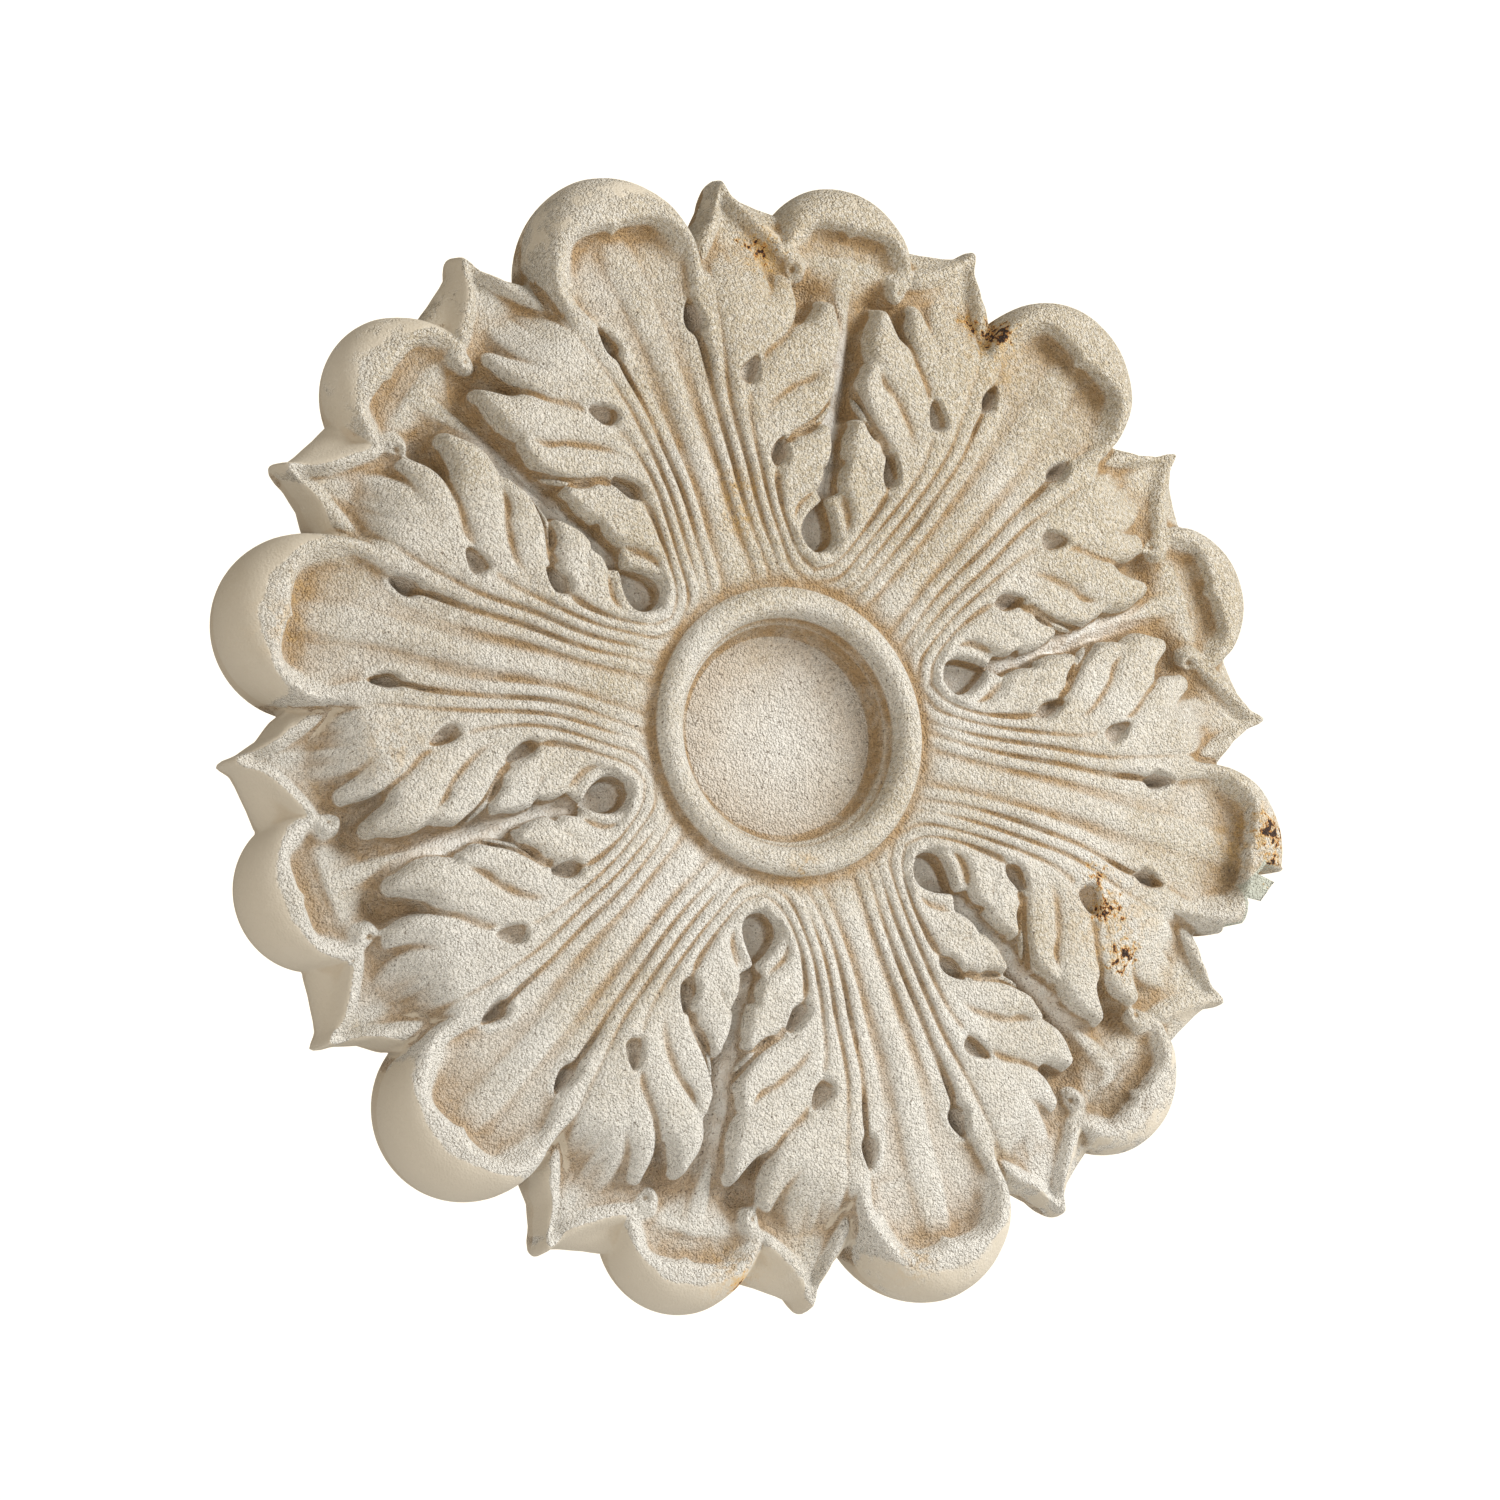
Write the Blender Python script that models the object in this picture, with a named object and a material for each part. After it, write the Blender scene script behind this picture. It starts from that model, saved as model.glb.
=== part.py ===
"""Acanthus wall rosette, one piece, at its real size.

Metres, +Z up. The face looks along -Y, the flat back lies in the plane y = 0 and the origin is at
the middle of that back, where the rosette is fixed to a wall.

The relief is a flat grid of points wrapped round the rosette's axis. A point's column is its
bearing and its row says how far out it lies. Each point is moved to the height that the carving has
there: six upper leaves with cupped ends lie over six lower leaves with smaller cups, and a folded,
pointed leaflet fills each place between two cups. Places on a leaf are shares: along, from the
ring's foot (0) to the cup's top (1), and across, from the leaf's own axis (0) to the next lower
leaf's axis (1).
"""
import math
import random

import bmesh
import bpy
import numpy as np

# Plan sizes
LEAVES = 6
TURN = 20.3                 # degrees that the first leaf leans left of upright
CUP_REACH = 0.300           # centre to the top of an upper cup
CUP_WIDTH = 0.089
LOWER_CUP_REACH = 0.99 * CUP_REACH
LOWER_CUP_WIDTH = 0.080
LEAFLET_REACH = 0.975 * CUP_REACH
RING_FOOT = 0.075           # radius where the ring meets the leaves
RING_WIDTH = 0.0165
RECESS_RADIUS = 0.0525
HOLE_WIDTH = 0.019          # the deep hole between two upper leaves
HOLE_LENGTH = 0.0275
SECTOR = 180.0 / LEAVES
LEAF_LENGTH = CUP_REACH - RING_FOOT

# Heights above the wall
RING_HEIGHT = 0.066
RING_RISE = 0.010
RECESS_FLOOR = 0.0455
BEAD_RISE = 0.002
LEAF_HEIGHT = 0.060
LEAF_FALL = 0.020
LAYER_DROP = 0.013          # from the upper leaves down to the lower ones, at the hole
LOWER_FALL = 0.021
CUP_LIP = 0.0535
CUP_EDGE = 0.030
LOWER_CUP_LIP = 0.0405
LOWER_CUP_EDGE = 0.018
HOLE_FLOOR = 0.046

# Cuts, folds and hand work
LOBE_RISE = 0.0065
EYE_WIDTH = 0.0092
EYE_LENGTH = 0.0175
EYE_DEPTH = 0.0068
MIDRIB_WIDTH = 0.0095
MIDRIB_RISE = 0.0045
FOLD_WIDTH = 0.0042
FOLD_RISE = 0.0060
WALL_RUN = 0.0036           # how far a leaf's steep edge runs in the plan
RIM_TUCK = 0.012
DRIFT = 0.0014              # how far the hand-worked drawing strays
DRIFT_HEIGHT = 0.0006
INTERLACE = 0.0035          # how far facing lobes are shifted past each other

# The cup that is torn
TORN_LEAF = 2
TEAR = ((0.6, 0.945), (3.9, 0.910), (7.4, 0.933), (8.8, 0.895))     # degrees past the axis, share of reach
TAB_START = 2.2
TAB_END = 5.0
TAB_REACH = 0.970
TAB_DROP = 0.024

# Mesh
EVEN_REACH = 0.9 * CUP_REACH        # the rows are even circles inside, and follow the rim near it
COLUMNS = 540
FRONT_ROWS = 100
UNDER_SHARES = (0.12, 0.30, 0.5, 0.7, 0.85, 0.95, 1.0)
ROW_PLACES = [i / FRONT_ROWS for i in range(FRONT_ROWS + 1)] + [1.0 + share for share in UNDER_SHARES]
TRIANGLES = 9300
DOUBLE_DISTANCE = 1e-6

STONE_COLOUR = (0.66, 0.59, 0.48, 1.0)
STONE_ROUGHNESS = 0.9

# Each ridge of the upper leaf: its course in (along, across) shares; half widths from root to tip, as
# shares of the leaf's length; crests at root, middle and tip, as shares of a lobe's rise; and its lean
RIDGES = {
    "midrib": (((0.0, 0.00), (0.4, 0.00), (0.9, 0.00)),
               (0.034, 0.031, 0.034, 0.040, 0.040), (0.26, 0.50, 0.30), 0.0),
    "tongue": (((0.0, 0.36), (0.115, 0.24), (0.245, 0.18), (0.38, 0.17), (0.515, 0.17), (0.615, 0.18),
                (0.665, 0.19)),
               (0.017, 0.016, 0.019, 0.017, 0.006), (0.26, 0.50, 0.05), 0.0),
    "tongue_side": (((0.0, 0.57), (0.11, 0.38), (0.23, 0.30), (0.35, 0.27), (0.455, 0.26),
                     (0.555, 0.28), (0.65, 0.29), (0.75, 0.31), (0.82, 0.31)),
                    (0.017, 0.016, 0.022, 0.036, 0.022), (0.26, 0.55, 0.78), 0.0),
    "shoulder_top": (((0.005, 0.86), (0.04, 0.61), (0.125, 0.49), (0.255, 0.39), (0.37, 0.35),
                      (0.46, 0.34), (0.54, 0.36), (0.63, 0.39), (0.72, 0.42), (0.795, 0.44)),
                     (0.015, 0.014, 0.026, 0.044, 0.036), (0.28, 0.55, 0.90), 0.1),
    "shoulder": (((0.005, 0.86), (0.04, 0.61), (0.125, 0.49), (0.255, 0.39), (0.375, 0.36),
                  (0.465, 0.37), (0.545, 0.40), (0.635, 0.45), (0.725, 0.51), (0.795, 0.55), (0.84, 0.57)),
                 (0.015, 0.014, 0.040, 0.064, 0.026), (0.28, 0.60, 1.0), 0.15),
    "shoulder_low": (((0.005, 0.86), (0.04, 0.61), (0.125, 0.49), (0.255, 0.39), (0.375, 0.36),
                      (0.445, 0.37), (0.505, 0.40), (0.57, 0.47), (0.62, 0.56), (0.67, 0.64),
                      (0.725, 0.68)),
                     (0.015, 0.014, 0.036, 0.054, 0.019), (0.28, 0.55, 0.88), 0.15),
    "arm": (((0.03, 0.98), (0.06, 0.74), (0.135, 0.59), (0.23, 0.50), (0.33, 0.45), (0.41, 0.46),
             (0.46, 0.51), (0.51, 0.60), (0.56, 0.72), (0.61, 0.81), (0.675, 0.84)),
            (0.013, 0.014, 0.046, 0.066, 0.018), (0.28, 0.62, 1.0), 0.15),
    "arm_low": (((0.03, 0.98), (0.06, 0.74), (0.135, 0.59), (0.23, 0.50), (0.31, 0.48), (0.37, 0.53),
                 (0.405, 0.62), (0.44, 0.73), (0.48, 0.82), (0.53, 0.85)),
                (0.013, 0.014, 0.042, 0.052, 0.017), (0.28, 0.55, 0.88), 0.15),
    "hand": (((0.06, 0.99), (0.085, 0.81), (0.14, 0.69), (0.2, 0.64), (0.26, 0.65), (0.3, 0.70),
              (0.325, 0.77), (0.355, 0.83), (0.39, 0.86)),
             (0.012, 0.013, 0.040, 0.049, 0.016), (0.28, 0.55, 0.92), 0.15),
    "hand_low": (((0.06, 0.99), (0.085, 0.81), (0.14, 0.69), (0.185, 0.67), (0.22, 0.71), (0.245, 0.77),
                  (0.27, 0.83), (0.295, 0.85)),
                 (0.012, 0.013, 0.030, 0.036, 0.013), (0.28, 0.50, 0.80), 0.15),
}
WIDTH_STOPS = (0.0, 0.40, 0.66, 0.85, 1.0)
CREST_STOPS = (0.0, 0.45, 0.85)
CREASE = 0.30 * LOBE_RISE

# Each slot between two groups of lobes: its course, and half widths from root to tip
SLOTS = (
    (((0.5, 0.45), (0.535, 0.52), (0.575, 0.61), (0.635, 0.70), (0.7, 0.78), (0.755, 0.84)),
     (-0.006, 0.001, 0.003, 0.010, 0.020)),
    (((0.32, 0.57), (0.355, 0.60), (0.38, 0.70), (0.415, 0.81), (0.46, 0.89), (0.51, 0.97)),
     (-0.004, 0.002, 0.005, 0.010, 0.016)),
)

# The wavy crest of a cup's lip: degrees round the cup from its top, share of the cup's radius
LIP_CREST = ((0, 0.34), (14, 0.38), (30, 0.48), (60, 0.70), (90, 0.86), (120, 0.93), (180, 0.95))
LIP_RUN = 0.38              # how much of the way out the inner side of the lip takes

# Shares along the leaf, and the share of the fall that the upper floor has sunk there; then the half
# width of the tongue and the length of the hub, as shares of the leaf's length
UPPER_FLOOR = ((0.0, 0.12), (0.08, 0.0), (0.28, 0.01), (0.55, 0.29), (0.72, 0.60), (0.84, 0.94), (1.0, 1.0))
TONGUE = ((0.0, 0.071), (0.29, 0.071), (0.63, 0.098), (0.70, 0.151), (0.755, 0.191), (0.83, 0.198))
HUB_ALONG = 0.165

# Outline of the leaflets between the cups: share across, share of the leaflet's reach
LEAFLET = ((0.0, 0.855), (0.30, 0.872), (0.33, 0.889), (0.43, 0.926), (0.482, 0.967), (0.498, 0.992),
           (0.511, 1.0), (0.525, 0.992), (0.545, 0.977), (0.583, 0.968), (0.667, 0.954), (0.73, 0.947),
           (1.0, 0.896))

# A leaflet's folds, its three-cornered hollow, and how wide its edge rolls over
FOLDS = (((0.755, 0.36), (0.825, 0.41), (0.87, 0.45), (0.92, 0.48), (0.98, 0.50)),
         ((0.98, 0.50), (0.915, 0.54), (0.86, 0.61), (0.815, 0.70), (0.785, 0.78), (0.75, 0.79)))
HOOD = (0.91, 0.50)
HOOD_WIDTH = 0.032
ROLL = ((0.30, 0.020), (0.46, 0.022), (0.51, 0.016), (0.59, 0.062), (0.70, 0.088))

# The lower layer's fall, its ringlets and the pits under them
LOWER_FLOOR = ((0.20, 0.0), (0.55, 0.30), (0.70, 0.52), (0.80, 0.55), (1.0, 1.0))
RINGLET = (0.76, 0.77)
RINGLET_REACH = 0.0135
PIT = (0.71, 0.84)          # the dark hollow under the ringlet
PIT_WIDTH = 0.040

# Each eye's place in shares, and its turn from the leaf's axis in degrees; then the deep hole
EYES = (((0.63, 0.22), 12), ((0.5, 0.44), 44), ((0.32, 0.58), 34))
HOLE_ALONG = 0.128
HOLE_LIP = 0.0028
HOLE_COLLAR = 0.0150        # how far the upper layer runs on round the hole
COLLAR_NOTCH = (0.60, 1.00)     # where the notch at the hole's point starts, and how fast it widens

FAR = 0.12 * CUP_REACH      # points farther than this from a course are left out of its sums
WAVE_PITCH = 0.37 * CUP_REACH


def smooth_step(low, high, x):
    share = np.clip((x - low) / (high - low), 0.0, 1.0)
    return share * share * (3.0 - 2.0 * share)


def smooth_max(a, b, blend):
    share = np.clip(0.5 + 0.5 * (a - b) / blend, 0.0, 1.0)
    return b + (a - b) * share + blend * share * (1.0 - share)


def bell(distance, width):
    return np.exp(-(distance / width) ** 2)


def by_share(x, pairs):
    stops, values = zip(*pairs)
    return np.interp(x, stops, values)


def leaf_point(along, across):
    """A place on the leaf, from shares to metres right of and up the leaf's axis."""
    radius = RING_FOOT + along * LEAF_LENGTH
    angle = math.radians(across * SECTOR)
    return np.array((radius * math.sin(angle), radius * math.cos(angle)))


def course(shares, steps=5):
    """A smooth line through places on the leaf."""
    points = [leaf_point(*place) for place in shares]
    points = [2 * points[0] - points[1]] + points + [2 * points[-1] - points[-2]]
    line = []
    for a, b, c, d in zip(points, points[1:], points[2:], points[3:]):
        for step in range(steps):
            s = step / steps
            line.append(0.5 * (2 * b + (c - a) * s + (2 * a - 5 * b + 4 * c - d) * s ** 2
                               + (3 * b - a - 3 * c + d) * s ** 3))
    line.append(points[-2])
    return np.array(line)


def follow(x, y, line):
    """Each point's distance from a line, its share along it, and the side that it lies on."""
    low, high = line.min(axis=0) - FAR, line.max(axis=0) + FAR
    close = (x > low[0]) & (x < high[0]) & (y > low[1]) & (y < high[1])
    px, py = x[close], y[close]
    runs = np.hypot(*(line[1:] - line[:-1]).T)
    start = np.concatenate(([0.0], np.cumsum(runs)))
    nearest, found, hand = np.full(px.shape, CUP_REACH), np.zeros(px.shape), np.zeros(px.shape)
    for i, run in enumerate(runs):
        dx, dy = line[i + 1] - line[i]
        k = np.clip(((px - line[i][0]) * dx + (py - line[i][1]) * dy) / run ** 2, 0.0, 1.0)
        off_x = px - line[i][0] - k * dx
        off_y = py - line[i][1] - k * dy
        away = np.hypot(off_x, off_y)
        nearer = away < nearest
        nearest = np.where(nearer, away, nearest)
        found = np.where(nearer, (start[i] + k * run) / start[-1], found)
        hand = np.where(nearer, np.sign(off_x * dy - off_y * dx), hand)
    distance, share, side = np.full(x.shape, CUP_REACH), np.zeros(x.shape), np.zeros(x.shape)
    distance[close], share[close], side[close] = nearest, found, hand
    return distance, share, side


def ridges(x, y):
    """Height of the upper leaf's ridges over its floor, and the distance inside its lobes."""
    rise = np.zeros_like(x)
    inside = np.full_like(x, -CUP_REACH)
    for name, (shares, widths, crests, lean) in RIDGES.items():
        distance, share, side = follow(x, y, course(shares))
        half = np.interp(share, WIDTH_STOPS, widths) * LEAF_LENGTH
        crest = np.interp(share, CREST_STOPS, crests) * LOBE_RISE
        off = distance / half
        roundness = np.interp(share, (0.5, 0.8), (2.0, 3.4))
        swell = crest * (1.0 - off ** roundness + lean * side * off / 2 * smooth_step(0.3, 0.7, share))
        rise = smooth_max(rise, np.maximum(swell, -CREASE), CREASE)
        if name != "midrib":
            inside = np.maximum(inside, half * 1.05 - distance)
    for shares, widths in SLOTS:
        distance, share, side = follow(x, y, course(shares))
        inside = np.minimum(inside, distance - np.interp(share, WIDTH_STOPS, widths) * LEAF_LENGTH)
    return rise, inside


def lip_crest(degrees):
    """Where the crest of a lip lies, as a share of the cup's radius."""
    crest = by_share(np.hypot(degrees, 5.0), LIP_CREST)
    return crest + 0.025 * np.sin(np.radians(7.0 * degrees)) * smooth_step(100, 60, degrees)


def cup_lip(x, y, reach, width, lip, edge):
    """The rounded lip of a cup: its height, how far it covers, and the distance inside the cup."""
    up = y - (reach - width / 2)
    radius = np.hypot(x, up)
    degrees = np.degrees(np.arctan2(np.abs(x), up))
    share = radius / (width / 2)
    crest = lip_crest(degrees)
    fall = np.clip((share - crest) / (1.0 - crest), 0.0, 1.0)
    height = edge + (lip - edge) * np.sqrt(1.0 - fall ** 2.2)
    run = np.clip((share - crest + LIP_RUN * crest) / (LIP_RUN * crest), 0.0, 1.0)
    cover = run ** 2 * (2.4 - 1.4 * run) * smooth_step(128, 84, degrees)
    return height, cover, (1.0 - share) * width / 2, degrees


def upper_leaf(x, y, radius):
    """Height of the upper leaf, and the distance inside its outline."""
    along = (radius - RING_FOOT) / LEAF_LENGTH
    floor = LEAF_HEIGHT - LEAF_FALL * by_share(along, UPPER_FLOOR)
    rise, inside = ridges(x, y)
    rise = rise * smooth_step(0.0, 0.06, along)
    axis_share = (y - RING_FOOT) / LEAF_LENGTH
    tongue = by_share(axis_share, TONGUE) * LEAF_LENGTH - np.abs(x)
    inside = np.maximum(inside, np.where(axis_share < TONGUE[-1][0], tongue, -CUP_REACH))
    inside = np.maximum(inside, RING_FOOT + HUB_ALONG * LEAF_LENGTH - radius)
    lip, cover, in_cup, degrees = cup_lip(x, y, CUP_REACH, CUP_WIDTH, CUP_LIP, CUP_EDGE)
    inside = np.where(degrees < 120, np.maximum(inside, in_cup), inside)
    return (floor + rise) * (1.0 - cover) + lip * cover, inside


def cup_far_side(angle, reach, width):
    """Radius at which a ray leaves a cup, or 0 where it misses it."""
    centre = reach - width / 2
    off = centre * np.sin(np.radians(angle))
    half = np.sqrt(np.clip((width / 2) ** 2 - off ** 2, 0.0, None))
    return np.where(np.abs(off) < width / 2, centre * np.cos(np.radians(angle)) + half, 0.0)


def rim_radius(angle):
    """Radius of the rosette's widest line, angle degrees from the nearest upper leaf's axis."""
    upper = cup_far_side(angle, CUP_REACH, CUP_WIDTH)
    lower = cup_far_side(SECTOR - angle, LOWER_CUP_REACH, LOWER_CUP_WIDTH)
    leaflet = LEAFLET_REACH * by_share(angle / SECTOR, LEAFLET)
    return np.maximum(np.maximum(upper, lower), leaflet)


def folded_leaflet(x, y, radius, angle, ground):
    """The lower leaf's pointed side leaflet, folded along a strip that ends at its tip."""
    top = ground
    for shares in FOLDS:
        distance, share, side = follow(x, y, course(shares))
        top = top + FOLD_RISE * smooth_step(FOLD_WIDTH * 1.8, FOLD_WIDTH * 0.2, distance)
    top = np.minimum(top, ground + FOLD_RISE)
    middle = leaf_point(*HOOD)
    top = top - 0.8 * FOLD_RISE * bell(np.hypot(x - middle[0], y - middle[1]), HOOD_WIDTH * LEAF_LENGTH)
    roll = by_share(angle / SECTOR, ROLL) * LEAF_LENGTH
    inward = np.clip((rim_radius(angle) - radius) / roll, 0.0, 1.0)
    return LOWER_CUP_EDGE + (top - LOWER_CUP_EDGE) * np.sqrt(1.0 - (1.0 - inward) ** 2)


def lower_ground(x, y, along, across):
    """Height of the lower layer with its midrib, before its cup and leaflets."""
    ground = LEAF_HEIGHT - LAYER_DROP - LOWER_FALL * by_share(along, LOWER_FLOOR)
    midrib = MIDRIB_RISE * smooth_step(MIDRIB_WIDTH * 0.75, MIDRIB_WIDTH * 0.15, across)
    ground = ground + midrib * smooth_step(0.18, 0.24, along) * smooth_step(0.86, 0.60, along)
    middle = leaf_point(*PIT)
    return ground - LOBE_RISE * bell(np.hypot(x - middle[0], y - middle[1]), PIT_WIDTH * LEAF_LENGTH)


def lower_leaf(x, y, radius, angle):
    """Height of the lower layer: its ground, midrib, small cup, leaflets and ringlets."""
    across = radius * np.sin(np.radians(SECTOR - angle))
    up = radius * np.cos(np.radians(SECTOR - angle))
    ground = lower_ground(x, y, (radius - RING_FOOT) / LEAF_LENGTH, across)
    lip, cover, in_cup, degrees = cup_lip(across, up, LOWER_CUP_REACH, LOWER_CUP_WIDTH,
                                          LOWER_CUP_LIP, LOWER_CUP_EDGE)
    beside = folded_leaflet(x, y, radius, angle, ground)
    middle = leaf_point(*RINGLET)
    away = np.hypot(x - middle[0], 0.75 * (y - middle[1]))
    ring = RINGLET_REACH * LEAF_LENGTH
    beside = beside + FOLD_RISE / 2 * (bell(away - ring, ring / 2) - bell(away, ring * 0.7))
    in_bulb = smooth_step(-WALL_RUN / 2, WALL_RUN / 2, in_cup) * smooth_step(112, 84, degrees)
    cup = (ground - 0.3 * FOLD_RISE) * (1.0 - cover) + lip * cover
    cup = np.maximum(cup, np.where(in_cup < WALL_RUN / 2, beside, 0.0))
    return beside * (1.0 - in_bulb) + cup * in_bulb


def cut_eyes(height, x, y):
    """Teardrop dimples where two groups of lobes part, each with a fine rolled edge."""
    for place, turn in EYES:
        middle = leaf_point(*place)
        dx, dy = x - middle[0], y - middle[1]
        sine, cosine = math.sin(math.radians(turn)), math.cos(math.radians(turn))
        along = (dx * sine + dy * cosine) / (EYE_LENGTH / 2)
        half = EYE_WIDTH / 2 * (1.0 - 0.45 * np.clip(along, -1.0, 1.0))
        away = np.hypot(along, (dx * cosine - dy * sine) / half)
        cut = smooth_step(1.08, 0.6, away) - 0.11 * bell(away - 1.35, 0.25)
        height = height - EYE_DEPTH * cut
    return height


def hole_place(radius, angle):
    """A place's distance from the hole's axis, and how far out it lies from the hole's widest line."""
    across = np.abs(radius * np.sin(np.radians(SECTOR - angle)))
    return across, radius * np.cos(np.radians(SECTOR - angle)) - (RING_FOOT + HOLE_ALONG * LEAF_LENGTH)


def inside_hole(across, up):
    """Distance inside the teardrop hole between two upper leaves, round at the ring."""
    round_end = HOLE_WIDTH / 2
    point_end = HOLE_LENGTH - round_end
    back = np.sqrt(np.clip(1.0 - (up / round_end) ** 2, 0.0, 1.0))
    front = 1.0 - np.clip(up / point_end, 0.0, 1.0) ** 1.7
    half = round_end * np.where(up < 0.0, back, front)
    past = np.maximum(-round_end - up, up - point_end)
    return np.where(past > 0.0, -np.hypot(past, np.maximum(across - half, 0.0)), half - across)


def inside_collar(across, up, hole):
    """Distance inside the upper layer's collar round the hole, notched at the hole's point."""
    notch = COLLAR_NOTCH[0] * HOLE_LENGTH + COLLAR_NOTCH[1] * across - up
    return np.minimum(hole + HOLE_COLLAR, notch)


def cut_hole(height, hole, collar):
    """Cut the deep hole, with a rolled lip round it."""
    lip = 0.8 * HOLE_LIP * smooth_step(0.0, 2.0 * HOLE_LIP, collar)
    height = height + lip * bell(hole + 1.25 * HOLE_LIP, HOLE_LIP)
    open_share = smooth_step(-0.3 * WALL_RUN, 0.8 * WALL_RUN, hole)
    return height * (1.0 - open_share) + HOLE_FLOOR * open_share


def ring_and_recess(height, radius):
    """The round ring over the leaves' roots, a fine bead inside it and the sunk disc."""
    crest_radius = RING_FOOT - RING_WIDTH / 2
    inner_foot = RING_FOOT - RING_WIDTH
    foot = RING_HEIGHT - RING_RISE
    off = np.clip((radius - crest_radius) / (RING_WIDTH / 2), -1.0, 1.0)
    ring = foot + RING_RISE * np.sqrt(1.0 - off ** 2)
    inner = RECESS_FLOOR + (foot - RECESS_FLOOR) * smooth_step(RECESS_RADIUS, inner_foot, radius)
    bead_radius = (RECESS_RADIUS + inner_foot) / 2
    inner = inner + BEAD_RISE * bell(radius - bead_radius, (inner_foot - RECESS_RADIUS) / 4)
    ring = np.where(radius < inner_foot, inner, ring)
    outer = np.where(radius < RING_FOOT, np.maximum(ring, height - BEAD_RISE / 2), height)
    return np.where(radius < crest_radius, ring, outer)


def leaf_drawing(radius, angle, side):
    """Where a place lies on the drawing of a leaf, with facing lobes shifted past each other."""
    reach = radius / CUP_REACH
    lobes = smooth_step(0.36, 0.5, reach)
    sway = smooth_step(0.3, 0.8, angle / SECTOR) * smooth_step(0.85, 0.6, reach) * lobes
    shifted = radius + INTERLACE * side * sway
    swing = 0.035 * (side + 1.0) * lobes * smooth_step(0.9, 0.75, reach)
    swung = np.radians(angle) * (1.0 - swing)
    return shifted * np.sin(swung), shifted * np.cos(swung)


def front_height(radius, angle, side):
    """Height of the face above the wall, angle degrees from an upper leaf's axis."""
    turn = np.radians(angle)
    lower = lower_leaf(radius * np.sin(turn), radius * np.cos(turn), radius, angle)
    x, y = leaf_drawing(radius, angle, side)
    upper, inside = upper_leaf(x, y, np.hypot(x, y))
    across, up = hole_place(radius, angle)
    hole = inside_hole(across, up)
    collar = inside_collar(across, up, hole)
    cover = smooth_step(-0.8 * WALL_RUN, 0.2 * WALL_RUN, np.maximum(inside, collar))
    height = lower + (np.maximum(upper, lower) - lower) * cover
    height = cut_hole(cut_eyes(height, x, y), hole, collar)
    return ring_and_recess(height, radius)


def wander(a, b, seed, waves=7):
    """A slow, seeded wave between about -1 and 1, for hand work."""
    chance = random.Random(seed)
    total = np.zeros_like(a)
    for _ in range(waves):
        heading = chance.uniform(0, 2 * math.pi)
        scale = 2 * math.pi / (WAVE_PITCH * chance.uniform(0.6, 1.6))
        phase = chance.uniform(0, 2 * math.pi)
        total = total + np.sin(scale * (a * math.cos(heading) + b * math.sin(heading)) + phase)
    return total / math.sqrt(waves)


def torn_rim(rim, bearing):
    """The rim of the torn cup: cut back to its hollow, with a tab of sheet left standing."""
    off = (bearing + TURN - 2 * SECTOR * TORN_LEAF + 180.0) % 360.0 - 180.0
    in_tear = (off > TEAR[0][0]) & (off < TEAR[-1][0])
    torn = np.where(in_tear, np.minimum(rim, by_share(off, TEAR) * CUP_REACH), rim)
    tab = (TAB_REACH - TAB_DROP * (off - TAB_START) / (TAB_END - TAB_START)) * CUP_REACH
    in_tab = (off > TAB_START) & (off < TAB_END)
    return np.where(in_tab, np.minimum(rim, tab), torn), torn


def leaf_place(across, up):
    """A place's angle from the nearest upper leaf's axis, and the side that it lies on."""
    off = (np.degrees(np.arctan2(across, up)) + TURN) % (2 * SECTOR)
    return np.minimum(off, 2 * SECTOR - off), np.where(off < SECTOR, 1.0, -1.0)


def face_height(across, up, fade):
    """Height of the face, with the drawing shifted a little by hand."""
    strayed_x = across + DRIFT * fade * wander(across, up, 11)
    strayed_y = up + DRIFT * fade * wander(across, up, 23)
    height = front_height(np.hypot(strayed_x, strayed_y), *leaf_place(strayed_x, strayed_y))
    return height + DRIFT_HEIGHT * fade * wander(across, up, 37)


def stray_fade(radius, edge):
    """How far the hand work may stray: not at all on the ring and along the rim."""
    return smooth_step(RING_FOOT, 1.5 * RING_FOOT, radius) * smooth_step(0.0, 0.07 * CUP_REACH, edge - radius)


def carve(rows, bearing):
    """Place the grid's points: rows up to 1 are the face, 1 to 2 the rim's underside."""
    turn = np.radians(bearing)
    rim = rim_radius(leaf_place(np.sin(turn), np.cos(turn))[0])
    edge, wall = torn_rim(rim, bearing)
    share = np.minimum(rows, 1.0)
    radius = np.minimum(EVEN_REACH * share + (rim - EVEN_REACH) * smooth_step(0.6, 1.0, share), edge)
    height = face_height(radius * np.sin(turn), radius * np.cos(turn), stray_fade(radius, rim))
    under = np.clip(rows - 1.0, 0.0, 1.0)
    tucked = wall - RIM_TUCK * (1.0 - np.sqrt(1.0 - under ** 2))
    radius = np.where(rows > 1.0, np.minimum(edge, tucked), radius)
    height = np.where(rows > 1.0, height * (1.0 - under), height)
    return np.stack((radius * np.sin(turn), -height, radius * np.cos(turn)), axis=1)


def stone_material():
    material = bpy.data.materials.new("stone_coat")
    material.use_nodes = True
    shader = material.node_tree.nodes["Principled BSDF"]
    shader.inputs["Base Color"].default_value = STONE_COLOUR
    shader.inputs["Roughness"].default_value = STONE_ROUGHNESS
    shader.inputs["Metallic"].default_value = 0.0
    return material


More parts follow.
